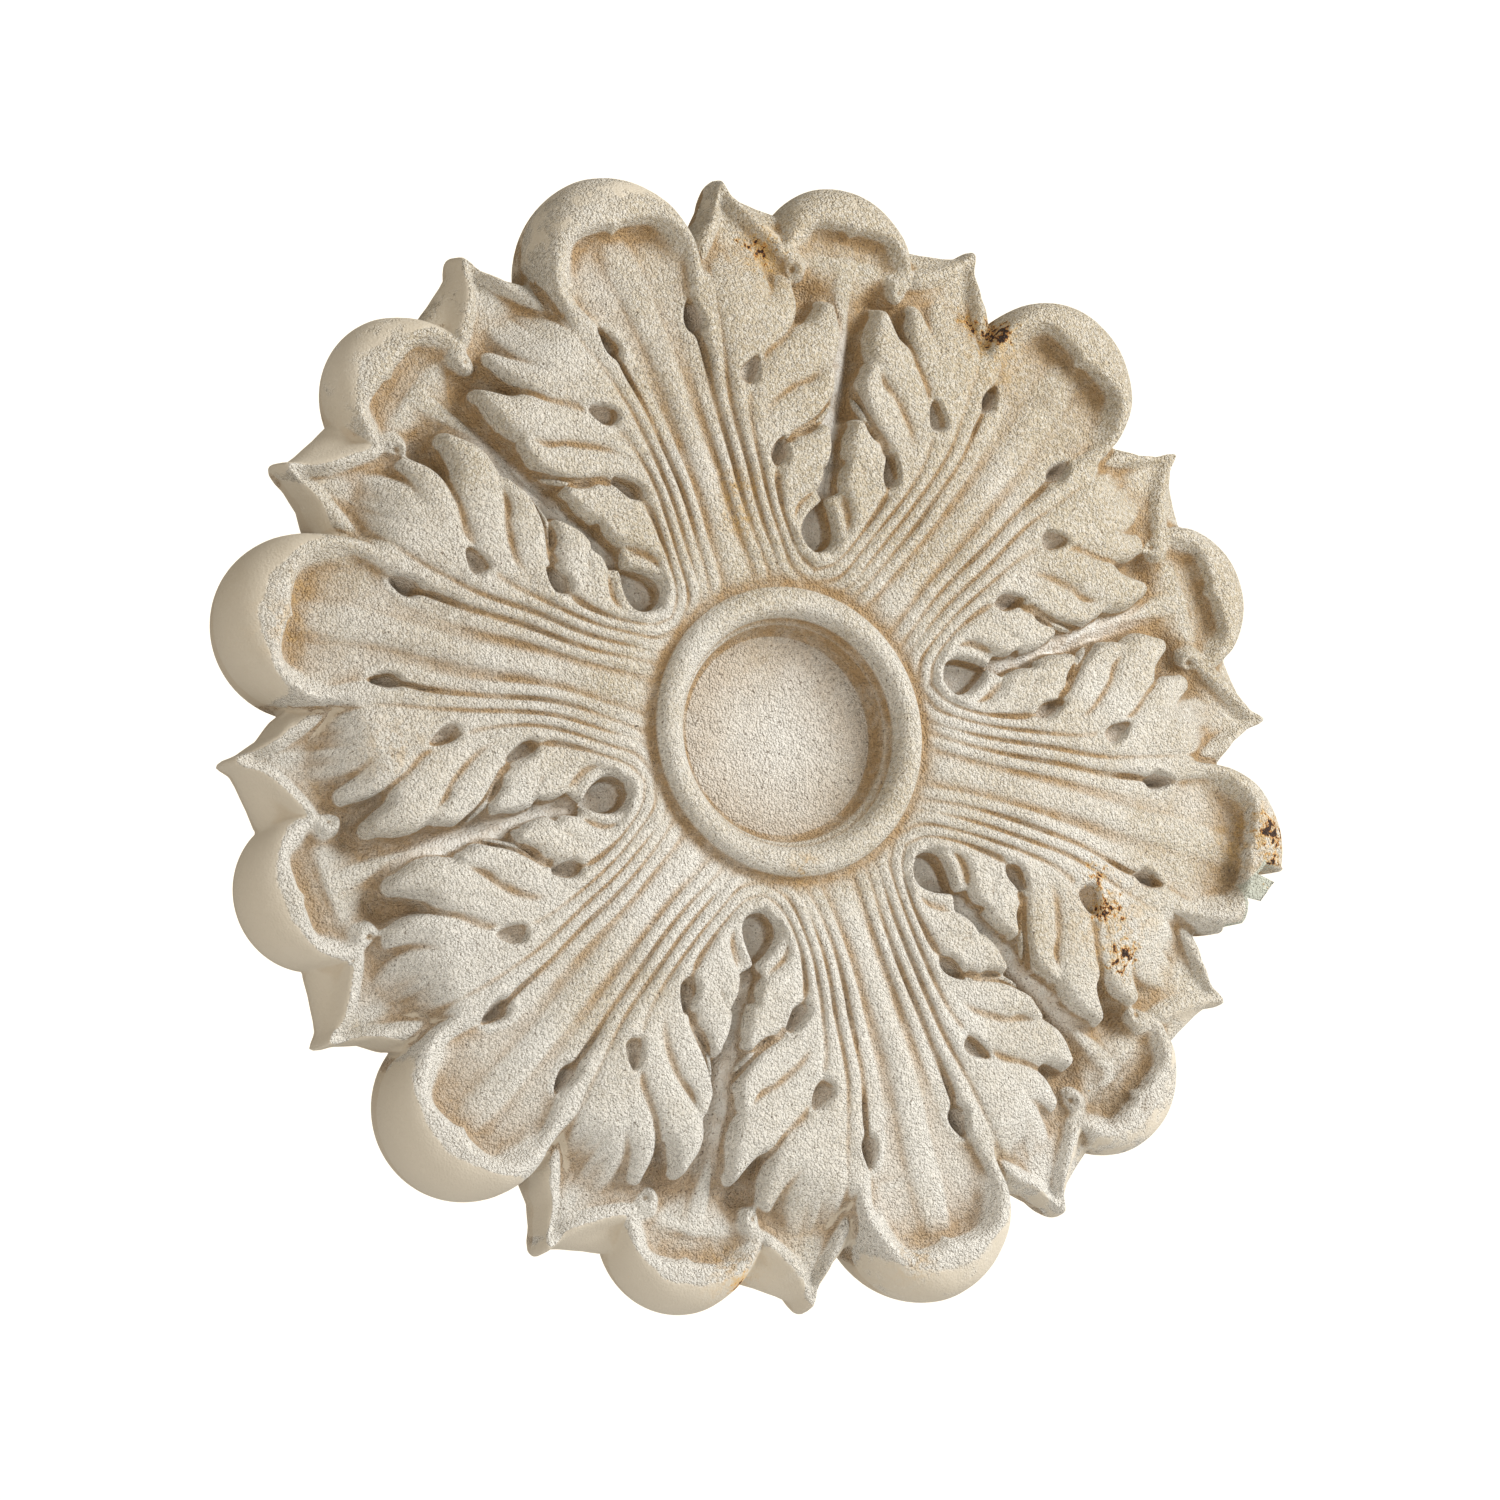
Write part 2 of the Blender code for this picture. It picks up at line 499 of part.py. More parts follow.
def make_rosette():
    """Wrap the grid round the axis, join its ends, close its back and thin it out."""
    shell = bmesh.new()
    bmesh.ops.create_grid(shell, x_segments=COLUMNS, y_segments=len(ROW_PLACES) - 1, size=1.0)
    flat = np.array([vertex.co for vertex in shell.verts])
    row = (flat[:, 1] + 1.0) / 2.0 * (len(ROW_PLACES) - 1)
    places = carve(np.interp(row, range(len(ROW_PLACES)), ROW_PLACES), (flat[:, 0] + 1.0) * 180.0)
    for vertex, place in zip(shell.verts, places):
        vertex.co = place
    bmesh.ops.remove_doubles(shell, verts=shell.verts, dist=DOUBLE_DISTANCE)
    bmesh.ops.contextual_create(shell, geom=[edge for edge in shell.edges if edge.is_boundary])
    bmesh.ops.recalc_face_normals(shell, faces=shell.faces)
    mesh = bpy.data.meshes.new("rosette")
    shell.to_mesh(mesh)
    shell.free()
    rosette = bpy.data.objects.new("rosette", mesh)
    bpy.context.scene.collection.objects.link(rosette)
    mesh.materials.append(stone_material())
    thin = rosette.modifiers.new("fewer_faces", "DECIMATE")
    thin.ratio = TRIANGLES / (2 * COLUMNS * len(ROW_PLACES))
    return rosette


for old in list(bpy.data.objects):
    bpy.data.objects.remove(old)
make_rosette()
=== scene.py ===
# %% [markdown]
# # A stone-coated acanthus rosette
#
# This lesson dresses one wall rosette, about 600 mm across. On the real object a thin sheet was
# pressed into layers of acanthus leaves, coated with sand to look like stone, and left outdoors until
# the hollows turned tan and the damage turned to rust. The frame is the plain faceted solid of the
# same rosette. It fixes the size and the place, and this script makes the fine surface that replaces
# it, then the finish, the light and the camera.

# %% Load the frame
import math
import random

import bmesh
import bpy
import numpy as np
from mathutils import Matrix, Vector


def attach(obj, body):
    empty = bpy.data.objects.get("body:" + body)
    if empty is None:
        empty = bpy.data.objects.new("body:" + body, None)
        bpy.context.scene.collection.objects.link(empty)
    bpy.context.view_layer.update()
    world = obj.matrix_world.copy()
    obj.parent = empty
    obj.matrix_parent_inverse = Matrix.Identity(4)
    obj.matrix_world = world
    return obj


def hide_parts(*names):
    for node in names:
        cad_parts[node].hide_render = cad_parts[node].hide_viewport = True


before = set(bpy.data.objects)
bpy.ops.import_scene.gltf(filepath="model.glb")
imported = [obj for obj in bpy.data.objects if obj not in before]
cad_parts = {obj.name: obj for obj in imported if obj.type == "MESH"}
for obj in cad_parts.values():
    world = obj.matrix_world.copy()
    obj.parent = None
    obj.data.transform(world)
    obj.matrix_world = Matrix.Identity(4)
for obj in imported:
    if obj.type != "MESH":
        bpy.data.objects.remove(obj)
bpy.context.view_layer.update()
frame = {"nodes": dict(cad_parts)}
print("frame nodes:", ", ".join(frame["nodes"]))

# %% [markdown]
# ## Sizes
#
# These are the same driving sizes as the solid's, in metres. Places on a leaf are given as shares:
# along runs from the ring's foot (0) to the top of the cup (1), and across runs from the leaf's own
# axis (0) to the axis of the next lower leaf (1). A carver works the same way, with one drawing of
# half a leaf that is turned over and walked round the ring.

# %% Sizes in the plan
LEAVES = 6
TURN = 20.3                 # degrees that the first leaf leans left of upright
CUP_REACH = 0.300           # centre to the top of an upper cup
CUP_WIDTH = 0.089
LOWER_CUP_REACH = 0.99 * CUP_REACH
LOWER_CUP_WIDTH = 0.080
LEAFLET_REACH = 0.975 * CUP_REACH
RING_FOOT = 0.075           # radius where the ring meets the leaves
RING_WIDTH = 0.0165
RECESS_RADIUS = 0.0525
HOLE_WIDTH = 0.019          # the deep hole between two upper leaves
HOLE_LENGTH = 0.0275
SECTOR = 180.0 / LEAVES
LEAF_LENGTH = CUP_REACH - RING_FOOT
print("half a leaf is", SECTOR, "degrees and", round(LEAF_LENGTH, 3), "m long")

# %% Heights above the wall
RING_HEIGHT = 0.066
RING_RISE = 0.010
RECESS_FLOOR = 0.0455
BEAD_RISE = 0.002
LEAF_HEIGHT = 0.060
LEAF_FALL = 0.020
LAYER_DROP = 0.013          # from the upper leaves down to the lower ones, at the hole
LOWER_FALL = 0.021
CUP_LIP = 0.0535
CUP_EDGE = 0.030
LOWER_CUP_LIP = 0.0405
LOWER_CUP_EDGE = 0.018
HOLE_FLOOR = 0.046
print("deepest carving stands", RING_HEIGHT, "m off the wall")

# %% Sizes of the cuts and folds
LOBE_RISE = 0.0065
EYE_WIDTH = 0.0092
EYE_LENGTH = 0.0175
EYE_DEPTH = 0.0068
MIDRIB_WIDTH = 0.0095
MIDRIB_RISE = 0.0045
FOLD_WIDTH = 0.0042
FOLD_RISE = 0.0060
WALL_RUN = 0.0036           # how far a leaf's steep edge runs in the plan
RIM_TUCK = 0.012
DRIFT = 0.0014              # how far the hand-worked drawing strays
DRIFT_HEIGHT = 0.0006
INTERLACE = 0.0035          # how far facing lobes are shifted past each other
print("an eye is", EYE_LENGTH, "m long and", EYE_DEPTH, "m deep")

# %% [markdown]
# ## Small tools for shaping
#
# The relief is worked out as one height for each point of the face. A few soft switches do most of
# the work: a step that eases in and out, a greatest-of-two that leaves a soft crease, a bell for
# beads and dimples, and a reader for short tables of shares. They act on whole arrays at once, which
# keeps hundreds of thousands of points quick.

# %% Soft switches
def smooth_step(low, high, x):
    share = np.clip((x - low) / (high - low), 0.0, 1.0)
    return share * share * (3.0 - 2.0 * share)


def smooth_max(a, b, blend):
    share = np.clip(0.5 + 0.5 * (a - b) / blend, 0.0, 1.0)
    return b + (a - b) * share + blend * share * (1.0 - share)


def bell(distance, width):
    return np.exp(-(distance / width) ** 2)


def by_share(x, pairs):
    stops, values = zip(*pairs)
    return np.interp(x, stops, values)


print("a quarter of the way along, a soft step has risen", round(float(smooth_step(0.0, 1.0, 0.25)), 3))


# %% Places and courses on a leaf
def leaf_point(along, across):
    radius = RING_FOOT + along * LEAF_LENGTH
    angle = math.radians(across * SECTOR)
    return np.array((radius * math.sin(angle), radius * math.cos(angle)))


def course(shares, steps=5):
    points = [leaf_point(*place) for place in shares]
    points = [2 * points[0] - points[1]] + points + [2 * points[-1] - points[-2]]
    line = []
    for a, b, c, d in zip(points, points[1:], points[2:], points[3:]):
        for step in range(steps):
            s = step / steps
            line.append(0.5 * (2 * b + (c - a) * s + (2 * a - 5 * b + 4 * c - d) * s ** 2
                               + (3 * b - a - 3 * c + d) * s ** 3))
    line.append(points[-2])
    return np.array(line)


print("an upper cup's top lies", round(float(leaf_point(1.0, 0.0)[1]), 3), "m up the leaf's axis")

# %% Distance from a course
FAR = 0.12 * CUP_REACH      # points farther than this from a course are left out of its sums


def follow(x, y, line):
    low, high = line.min(axis=0) - FAR, line.max(axis=0) + FAR
    close = (x > low[0]) & (x < high[0]) & (y > low[1]) & (y < high[1])
    px, py = x[close], y[close]
    runs = np.hypot(*(line[1:] - line[:-1]).T)
    start = np.concatenate(([0.0], np.cumsum(runs)))
    nearest, found, hand = np.full(px.shape, CUP_REACH), np.zeros(px.shape), np.zeros(px.shape)
    for i, run in enumerate(runs):
        dx, dy = line[i + 1] - line[i]
        k = np.clip(((px - line[i][0]) * dx + (py - line[i][1]) * dy) / run ** 2, 0.0, 1.0)
        off_x = px - line[i][0] - k * dx
        off_y = py - line[i][1] - k * dy
        away = np.hypot(off_x, off_y)
        nearer = away < nearest
        nearest = np.where(nearer, away, nearest)
        found = np.where(nearer, (start[i] + k * run) / start[-1], found)
        hand = np.where(nearer, np.sign(off_x * dy - off_y * dx), hand)
    distance, share, side = np.full(x.shape, CUP_REACH), np.zeros(x.shape), np.zeros(x.shape)
    distance[close], share[close], side[close] = nearest, found, hand
    return distance, share, side


print("a course is felt", round(FAR, 3), "m to each side")

# %% [markdown]
# ## The upper leaf's ridges
#
# An acanthus leaf is a fan of round ridges, packed tightly at the root and opening into lobes. Each
# ridge here is a course across the leaf with its own half widths and crests. Where two ridges meet,
# the soft greatest-of-two leaves the narrow groove that collects the tan patina. Lobes of one group
# share a root, and the outer roots end on the sector's edge, where they meet the next leaf's roots
# and run round the deep hole in one curve. A slot opens from each eye between two groups of lobes.

# %% The ridges' courses
RIDGES = {
    "midrib": (((0.0, 0.00), (0.4, 0.00), (0.9, 0.00)),
               (0.034, 0.031, 0.034, 0.040, 0.040), (0.26, 0.50, 0.30), 0.0),
    "tongue": (((0.0, 0.36), (0.115, 0.24), (0.245, 0.18), (0.38, 0.17), (0.515, 0.17), (0.615, 0.18),
                (0.665, 0.19)),
               (0.017, 0.016, 0.019, 0.017, 0.006), (0.26, 0.50, 0.05), 0.0),
    "tongue_side": (((0.0, 0.57), (0.11, 0.38), (0.23, 0.30), (0.35, 0.27), (0.455, 0.26),
                     (0.555, 0.28), (0.65, 0.29), (0.75, 0.31), (0.82, 0.31)),
                    (0.017, 0.016, 0.022, 0.036, 0.022), (0.26, 0.55, 0.78), 0.0),
    "shoulder_top": (((0.005, 0.86), (0.04, 0.61), (0.125, 0.49), (0.255, 0.39), (0.37, 0.35),
                      (0.46, 0.34), (0.54, 0.36), (0.63, 0.39), (0.72, 0.42), (0.795, 0.44)),
                     (0.015, 0.014, 0.026, 0.044, 0.036), (0.28, 0.55, 0.90), 0.1),
    "shoulder": (((0.005, 0.86), (0.04, 0.61), (0.125, 0.49), (0.255, 0.39), (0.375, 0.36),
                  (0.465, 0.37), (0.545, 0.40), (0.635, 0.45), (0.725, 0.51), (0.795, 0.55), (0.84, 0.57)),
                 (0.015, 0.014, 0.040, 0.064, 0.026), (0.28, 0.60, 1.0), 0.15),
    "shoulder_low": (((0.005, 0.86), (0.04, 0.61), (0.125, 0.49), (0.255, 0.39), (0.375, 0.36),
                      (0.445, 0.37), (0.505, 0.40), (0.57, 0.47), (0.62, 0.56), (0.67, 0.64),
                      (0.725, 0.68)),
                     (0.015, 0.014, 0.036, 0.054, 0.019), (0.28, 0.55, 0.88), 0.15),
    "arm": (((0.03, 0.98), (0.06, 0.74), (0.135, 0.59), (0.23, 0.50), (0.33, 0.45), (0.41, 0.46),
             (0.46, 0.51), (0.51, 0.60), (0.56, 0.72), (0.61, 0.81), (0.675, 0.84)),
            (0.013, 0.014, 0.046, 0.066, 0.018), (0.28, 0.62, 1.0), 0.15),
    "arm_low": (((0.03, 0.98), (0.06, 0.74), (0.135, 0.59), (0.23, 0.50), (0.31, 0.48), (0.37, 0.53),
                 (0.405, 0.62), (0.44, 0.73), (0.48, 0.82), (0.53, 0.85)),
                (0.013, 0.014, 0.042, 0.052, 0.017), (0.28, 0.55, 0.88), 0.15),
    "hand": (((0.06, 0.99), (0.085, 0.81), (0.14, 0.69), (0.2, 0.64), (0.26, 0.65), (0.3, 0.70),
              (0.325, 0.77), (0.355, 0.83), (0.39, 0.86)),
             (0.012, 0.013, 0.040, 0.049, 0.016), (0.28, 0.55, 0.92), 0.15),
    "hand_low": (((0.06, 0.99), (0.085, 0.81), (0.14, 0.69), (0.185, 0.67), (0.22, 0.71), (0.245, 0.77),
                  (0.27, 0.83), (0.295, 0.85)),
                 (0.012, 0.013, 0.030, 0.036, 0.013), (0.28, 0.50, 0.80), 0.15),
}
WIDTH_STOPS = (0.0, 0.40, 0.66, 0.85, 1.0)
CREST_STOPS = (0.0, 0.45, 0.85)
CREASE = 0.30 * LOBE_RISE
print(len(RIDGES), "ridges on half a leaf")

# %% Slots between the groups of lobes
SLOTS = (
    (((0.5, 0.45), (0.535, 0.52), (0.575, 0.61), (0.635, 0.70), (0.7, 0.78), (0.755, 0.84)),
     (-0.006, 0.001, 0.003, 0.010, 0.020)),
    (((0.32, 0.57), (0.355, 0.60), (0.38, 0.70), (0.415, 0.81), (0.46, 0.89), (0.51, 0.97)),
     (-0.004, 0.002, 0.005, 0.010, 0.016)),
)
print(len(SLOTS), "slots on half a leaf")


# %% Raise the ridges
def ridges(x, y):
    rise = np.zeros_like(x)
    inside = np.full_like(x, -CUP_REACH)
    for name, (shares, widths, crests, lean) in RIDGES.items():
        distance, share, side = follow(x, y, course(shares))
        half = np.interp(share, WIDTH_STOPS, widths) * LEAF_LENGTH
        crest = np.interp(share, CREST_STOPS, crests) * LOBE_RISE
        off = distance / half
        roundness = np.interp(share, (0.5, 0.8), (2.0, 3.4))
        swell = crest * (1.0 - off ** roundness + lean * side * off / 2 * smooth_step(0.3, 0.7, share))
        rise = smooth_max(rise, np.maximum(swell, -CREASE), CREASE)
        if name != "midrib":
            inside = np.maximum(inside, half * 1.05 - distance)
    for shares, widths in SLOTS:
        distance, share, side = follow(x, y, course(shares))
        inside = np.minimum(inside, distance - np.interp(share, WIDTH_STOPS, widths) * LEAF_LENGTH)
    return rise, inside


# %% [markdown]
# ## Cups
#
# Each leaf ends in a cup: the sheet dips into a hollow, flows up to a wavy lip and rolls over into a
# smooth round bulb. The lip's crest is a short table of shares round the cup, so upper and lower cups
# share one function and differ only in width and level.

# %% Lip and bulb
LIP_CREST = ((0, 0.34), (14, 0.38), (30, 0.48), (60, 0.70), (90, 0.86), (120, 0.93), (180, 0.95))
LIP_RUN = 0.38              # how much of the way out the inner side of the lip takes


def lip_crest(degrees):
    crest = by_share(np.hypot(degrees, 5.0), LIP_CREST)
    return crest + 0.025 * np.sin(np.radians(7.0 * degrees)) * smooth_step(100, 60, degrees)


def cup_lip(x, y, reach, width, lip, edge):
    up = y - (reach - width / 2)
    radius = np.hypot(x, up)
    degrees = np.degrees(np.arctan2(np.abs(x), up))
    share = radius / (width / 2)
    crest = lip_crest(degrees)
    fall = np.clip((share - crest) / (1.0 - crest), 0.0, 1.0)
    height = edge + (lip - edge) * np.sqrt(1.0 - fall ** 2.2)
    run = np.clip((share - crest + LIP_RUN * crest) / (LIP_RUN * crest), 0.0, 1.0)
    cover = run ** 2 * (2.4 - 1.4 * run) * smooth_step(128, 84, degrees)
    return height, cover, (1.0 - share) * width / 2, degrees


print("at a cup's top the lip's crest lies", round(float(lip_crest(0.0)), 2), "of the cup's radius out")

# %% [markdown]
# ## The upper leaf
#
# The upper leaf is a floor that sinks towards the cup, with the ridges on it. Its outline isn't drawn
# on its own: a point belongs to the leaf where it lies inside a lobe, the tongue, the cup or the hub
# round the ring. That keeps the outline and the ridges in step when a lobe is moved.

# %% Floor, tongue and hub
UPPER_FLOOR = ((0.0, 0.12), (0.08, 0.0), (0.28, 0.01), (0.55, 0.29), (0.72, 0.60), (0.84, 0.94), (1.0, 1.0))
TONGUE = ((0.0, 0.071), (0.29, 0.071), (0.63, 0.098), (0.70, 0.151), (0.755, 0.191), (0.83, 0.198))
HUB_ALONG = 0.165


def upper_leaf(x, y, radius):
    along = (radius - RING_FOOT) / LEAF_LENGTH
    floor = LEAF_HEIGHT - LEAF_FALL * by_share(along, UPPER_FLOOR)
    rise, inside = ridges(x, y)
    rise = rise * smooth_step(0.0, 0.06, along)
    axis_share = (y - RING_FOOT) / LEAF_LENGTH
    tongue = by_share(axis_share, TONGUE) * LEAF_LENGTH - np.abs(x)
    inside = np.maximum(inside, np.where(axis_share < TONGUE[-1][0], tongue, -CUP_REACH))
    inside = np.maximum(inside, RING_FOOT + HUB_ALONG * LEAF_LENGTH - radius)
    lip, cover, in_cup, degrees = cup_lip(x, y, CUP_REACH, CUP_WIDTH, CUP_LIP, CUP_EDGE)
    inside = np.where(degrees < 120, np.maximum(inside, in_cup), inside)
    return (floor + rise) * (1.0 - cover) + lip * cover, inside


# %% [markdown]
# ## The lower layer
#
# Behind the gaps lies the second ring of leaves. Its smooth midrib shows between the lobes, and its
# cup and pointed side leaflets stand out past them. Each leaflet is folded: a thin strip runs from
# its tip down to a small ringlet, a three-cornered hollow lies on one side of the strip, and the
# smooth outer wall falls away on the other.

# %% The rim's outline
LEAFLET = ((0.0, 0.855), (0.30, 0.872), (0.33, 0.889), (0.43, 0.926), (0.482, 0.967), (0.498, 0.992),
           (0.511, 1.0), (0.525, 0.992), (0.545, 0.977), (0.583, 0.968), (0.667, 0.954), (0.73, 0.947),
           (1.0, 0.896))


def cup_far_side(angle, reach, width):
    centre = reach - width / 2
    off = centre * np.sin(np.radians(angle))
    half = np.sqrt(np.clip((width / 2) ** 2 - off ** 2, 0.0, None))
    return np.where(np.abs(off) < width / 2, centre * np.cos(np.radians(angle)) + half, 0.0)


def rim_radius(angle):
    upper = cup_far_side(angle, CUP_REACH, CUP_WIDTH)
    lower = cup_far_side(SECTOR - angle, LOWER_CUP_REACH, LOWER_CUP_WIDTH)
    leaflet = LEAFLET_REACH * by_share(angle / SECTOR, LEAFLET)
    return np.maximum(np.maximum(upper, lower), leaflet)


print("a leaflet's tip lies", round(float(rim_radius(SECTOR / 2)), 3), "m from the middle")

# %% Folded leaflets
FOLDS = (((0.755, 0.36), (0.825, 0.41), (0.87, 0.45), (0.92, 0.48), (0.98, 0.50)),
         ((0.98, 0.50), (0.915, 0.54), (0.86, 0.61), (0.815, 0.70), (0.785, 0.78), (0.75, 0.79)))
HOOD = (0.91, 0.50)
HOOD_WIDTH = 0.032
ROLL = ((0.30, 0.020), (0.46, 0.022), (0.51, 0.016), (0.59, 0.062), (0.70, 0.088))


def folded_leaflet(x, y, radius, angle, ground):
    top = ground
    for shares in FOLDS:
        distance, share, side = follow(x, y, course(shares))
        top = top + FOLD_RISE * smooth_step(FOLD_WIDTH * 1.8, FOLD_WIDTH * 0.2, distance)
    top = np.minimum(top, ground + FOLD_RISE)
    middle = leaf_point(*HOOD)
    top = top - 0.8 * FOLD_RISE * bell(np.hypot(x - middle[0], y - middle[1]), HOOD_WIDTH * LEAF_LENGTH)
    roll = by_share(angle / SECTOR, ROLL) * LEAF_LENGTH
    inward = np.clip((rim_radius(angle) - radius) / roll, 0.0, 1.0)
    return LOWER_CUP_EDGE + (top - LOWER_CUP_EDGE) * np.sqrt(1.0 - (1.0 - inward) ** 2)


# %% Lower leaf
LOWER_FLOOR = ((0.20, 0.0), (0.55, 0.30), (0.70, 0.52), (0.80, 0.55), (1.0, 1.0))
RINGLET = (0.76, 0.77)
RINGLET_REACH = 0.0135
PIT = (0.71, 0.84)          # the dark hollow under the ringlet
PIT_WIDTH = 0.040


def lower_ground(x, y, along, across):
    ground = LEAF_HEIGHT - LAYER_DROP - LOWER_FALL * by_share(along, LOWER_FLOOR)
    midrib = MIDRIB_RISE * smooth_step(MIDRIB_WIDTH * 0.75, MIDRIB_WIDTH * 0.15, across)
    ground = ground + midrib * smooth_step(0.18, 0.24, along) * smooth_step(0.86, 0.60, along)
    middle = leaf_point(*PIT)
    return ground - LOBE_RISE * bell(np.hypot(x - middle[0], y - middle[1]), PIT_WIDTH * LEAF_LENGTH)


def lower_leaf(x, y, radius, angle):
    across = radius * np.sin(np.radians(SECTOR - angle))
    up = radius * np.cos(np.radians(SECTOR - angle))
    ground = lower_ground(x, y, (radius - RING_FOOT) / LEAF_LENGTH, across)
    lip, cover, in_cup, degrees = cup_lip(across, up, LOWER_CUP_REACH, LOWER_CUP_WIDTH,
                                          LOWER_CUP_LIP, LOWER_CUP_EDGE)
    beside = folded_leaflet(x, y, radius, angle, ground)
    middle = leaf_point(*RINGLET)
    away = np.hypot(x - middle[0], 0.75 * (y - middle[1]))
    ring = RINGLET_REACH * LEAF_LENGTH
    beside = beside + FOLD_RISE / 2 * (bell(away - ring, ring / 2) - bell(away, ring * 0.7))
    in_bulb = smooth_step(-WALL_RUN / 2, WALL_RUN / 2, in_cup) * smooth_step(112, 84, degrees)
    cup = (ground - 0.3 * FOLD_RISE) * (1.0 - cover) + lip * cover
    cup = np.maximum(cup, np.where(in_cup < WALL_RUN / 2, beside, 0.0))
    return beside * (1.0 - in_bulb) + cup * in_bulb


# %% [markdown]
# ## Eyes, holes and the ring
#
# Where two groups of lobes part, the carver drilled a teardrop eye. The deep holes beside the ring are
# the same form at a larger size, cut right down to the lower layer. The ring is half a round moulding
# over the leaves' roots, with a fine bead inside it and a sunk disc.

# %% Drilled eyes
EYES = (((0.63, 0.22), 12), ((0.5, 0.44), 44), ((0.32, 0.58), 34))


def cut_eyes(height, x, y):
    for place, turn in EYES:
        middle = leaf_point(*place)
        dx, dy = x - middle[0], y - middle[1]
        sine, cosine = math.sin(math.radians(turn)), math.cos(math.radians(turn))
        along = (dx * sine + dy * cosine) / (EYE_LENGTH / 2)
        half = EYE_WIDTH / 2 * (1.0 - 0.45 * np.clip(along, -1.0, 1.0))
        away = np.hypot(along, (dx * cosine - dy * sine) / half)
        cut = smooth_step(1.08, 0.6, away) - 0.11 * bell(away - 1.35, 0.25)
        height = height - EYE_DEPTH * cut
    return height


# %% Deep holes
HOLE_ALONG = 0.128
HOLE_LIP = 0.0028
HOLE_COLLAR = 0.0150        # how far the upper layer runs on round the hole
COLLAR_NOTCH = (0.60, 1.00)     # where the notch at the hole's point starts, and how fast it widens


def hole_place(radius, angle):
    across = np.abs(radius * np.sin(np.radians(SECTOR - angle)))
    return across, radius * np.cos(np.radians(SECTOR - angle)) - (RING_FOOT + HOLE_ALONG * LEAF_LENGTH)


def inside_hole(across, up):
    round_end = HOLE_WIDTH / 2
    point_end = HOLE_LENGTH - round_end
    back = np.sqrt(np.clip(1.0 - (up / round_end) ** 2, 0.0, 1.0))
    front = 1.0 - np.clip(up / point_end, 0.0, 1.0) ** 1.7
    half = round_end * np.where(up < 0.0, back, front)
    past = np.maximum(-round_end - up, up - point_end)
    return np.where(past > 0.0, -np.hypot(past, np.maximum(across - half, 0.0)), half - across)


def inside_collar(across, up, hole):
    notch = COLLAR_NOTCH[0] * HOLE_LENGTH + COLLAR_NOTCH[1] * across - up
    return np.minimum(hole + HOLE_COLLAR, notch)


def cut_hole(height, hole, collar):
    lip = 0.8 * HOLE_LIP * smooth_step(0.0, 2.0 * HOLE_LIP, collar)
    height = height + lip * bell(hole + 1.25 * HOLE_LIP, HOLE_LIP)
    open_share = smooth_step(-0.3 * WALL_RUN, 0.8 * WALL_RUN, hole)
    return height * (1.0 - open_share) + HOLE_FLOOR * open_share


print("a deep hole is", HOLE_LENGTH, "m long and", round(LEAF_HEIGHT - HOLE_FLOOR, 3), "m deep")


# %% Ring, bead and recess
def ring_and_recess(height, radius):
    crest_radius = RING_FOOT - RING_WIDTH / 2
    inner_foot = RING_FOOT - RING_WIDTH
    foot = RING_HEIGHT - RING_RISE
    off = np.clip((radius - crest_radius) / (RING_WIDTH / 2), -1.0, 1.0)
    ring = foot + RING_RISE * np.sqrt(1.0 - off ** 2)
    inner = RECESS_FLOOR + (foot - RECESS_FLOOR) * smooth_step(RECESS_RADIUS, inner_foot, radius)
    bead_radius = (RECESS_RADIUS + inner_foot) / 2
    inner = inner + BEAD_RISE * bell(radius - bead_radius, (inner_foot - RECESS_RADIUS) / 4)
    ring = np.where(radius < inner_foot, inner, ring)
    outer = np.where(radius < RING_FOOT, np.maximum(ring, height - BEAD_RISE / 2), height)
    return np.where(radius < crest_radius, ring, outer)


# %% [markdown]
# ## The whole face
#
# Facing lobes of two neighbours would meet tip to tip if each leaf were the same on both sides. On
# the real rosette they pass each other like fingers, so one side of each leaf is drawn a little
# farther out and swung a little towards its neighbour.

# %% Both layers together
def leaf_drawing(radius, angle, side):
    reach = radius / CUP_REACH
    lobes = smooth_step(0.36, 0.5, reach)
    sway = smooth_step(0.3, 0.8, angle / SECTOR) * smooth_step(0.85, 0.6, reach) * lobes
    shifted = radius + INTERLACE * side * sway
    swing = 0.035 * (side + 1.0) * lobes * smooth_step(0.9, 0.75, reach)
    swung = np.radians(angle) * (1.0 - swing)
    return shifted * np.sin(swung), shifted * np.cos(swung)


def front_height(radius, angle, side):
    turn = np.radians(angle)
    lower = lower_leaf(radius * np.sin(turn), radius * np.cos(turn), radius, angle)
    x, y = leaf_drawing(radius, angle, side)
    upper, inside = upper_leaf(x, y, np.hypot(x, y))
    across, up = hole_place(radius, angle)
    hole = inside_hole(across, up)
    collar = inside_collar(across, up, hole)
    cover = smooth_step(-0.8 * WALL_RUN, 0.2 * WALL_RUN, np.maximum(inside, collar))
    height = lower + (np.maximum(upper, lower) - lower) * cover
    height = cut_hole(cut_eyes(height, x, y), hole, collar)
    return ring_and_recess(height, radius)


# %% [markdown]
# ## Hand work and damage
#
# Nothing carved by hand repeats exactly, so a slow seeded wave shifts the drawing by about a
# millimetre. One cup is torn: part of its bulb is gone back to the hollow, and a tab of thin sheet
# still stands out from the tear.

# %% Slow waves
WAVE_PITCH = 0.37 * CUP_REACH


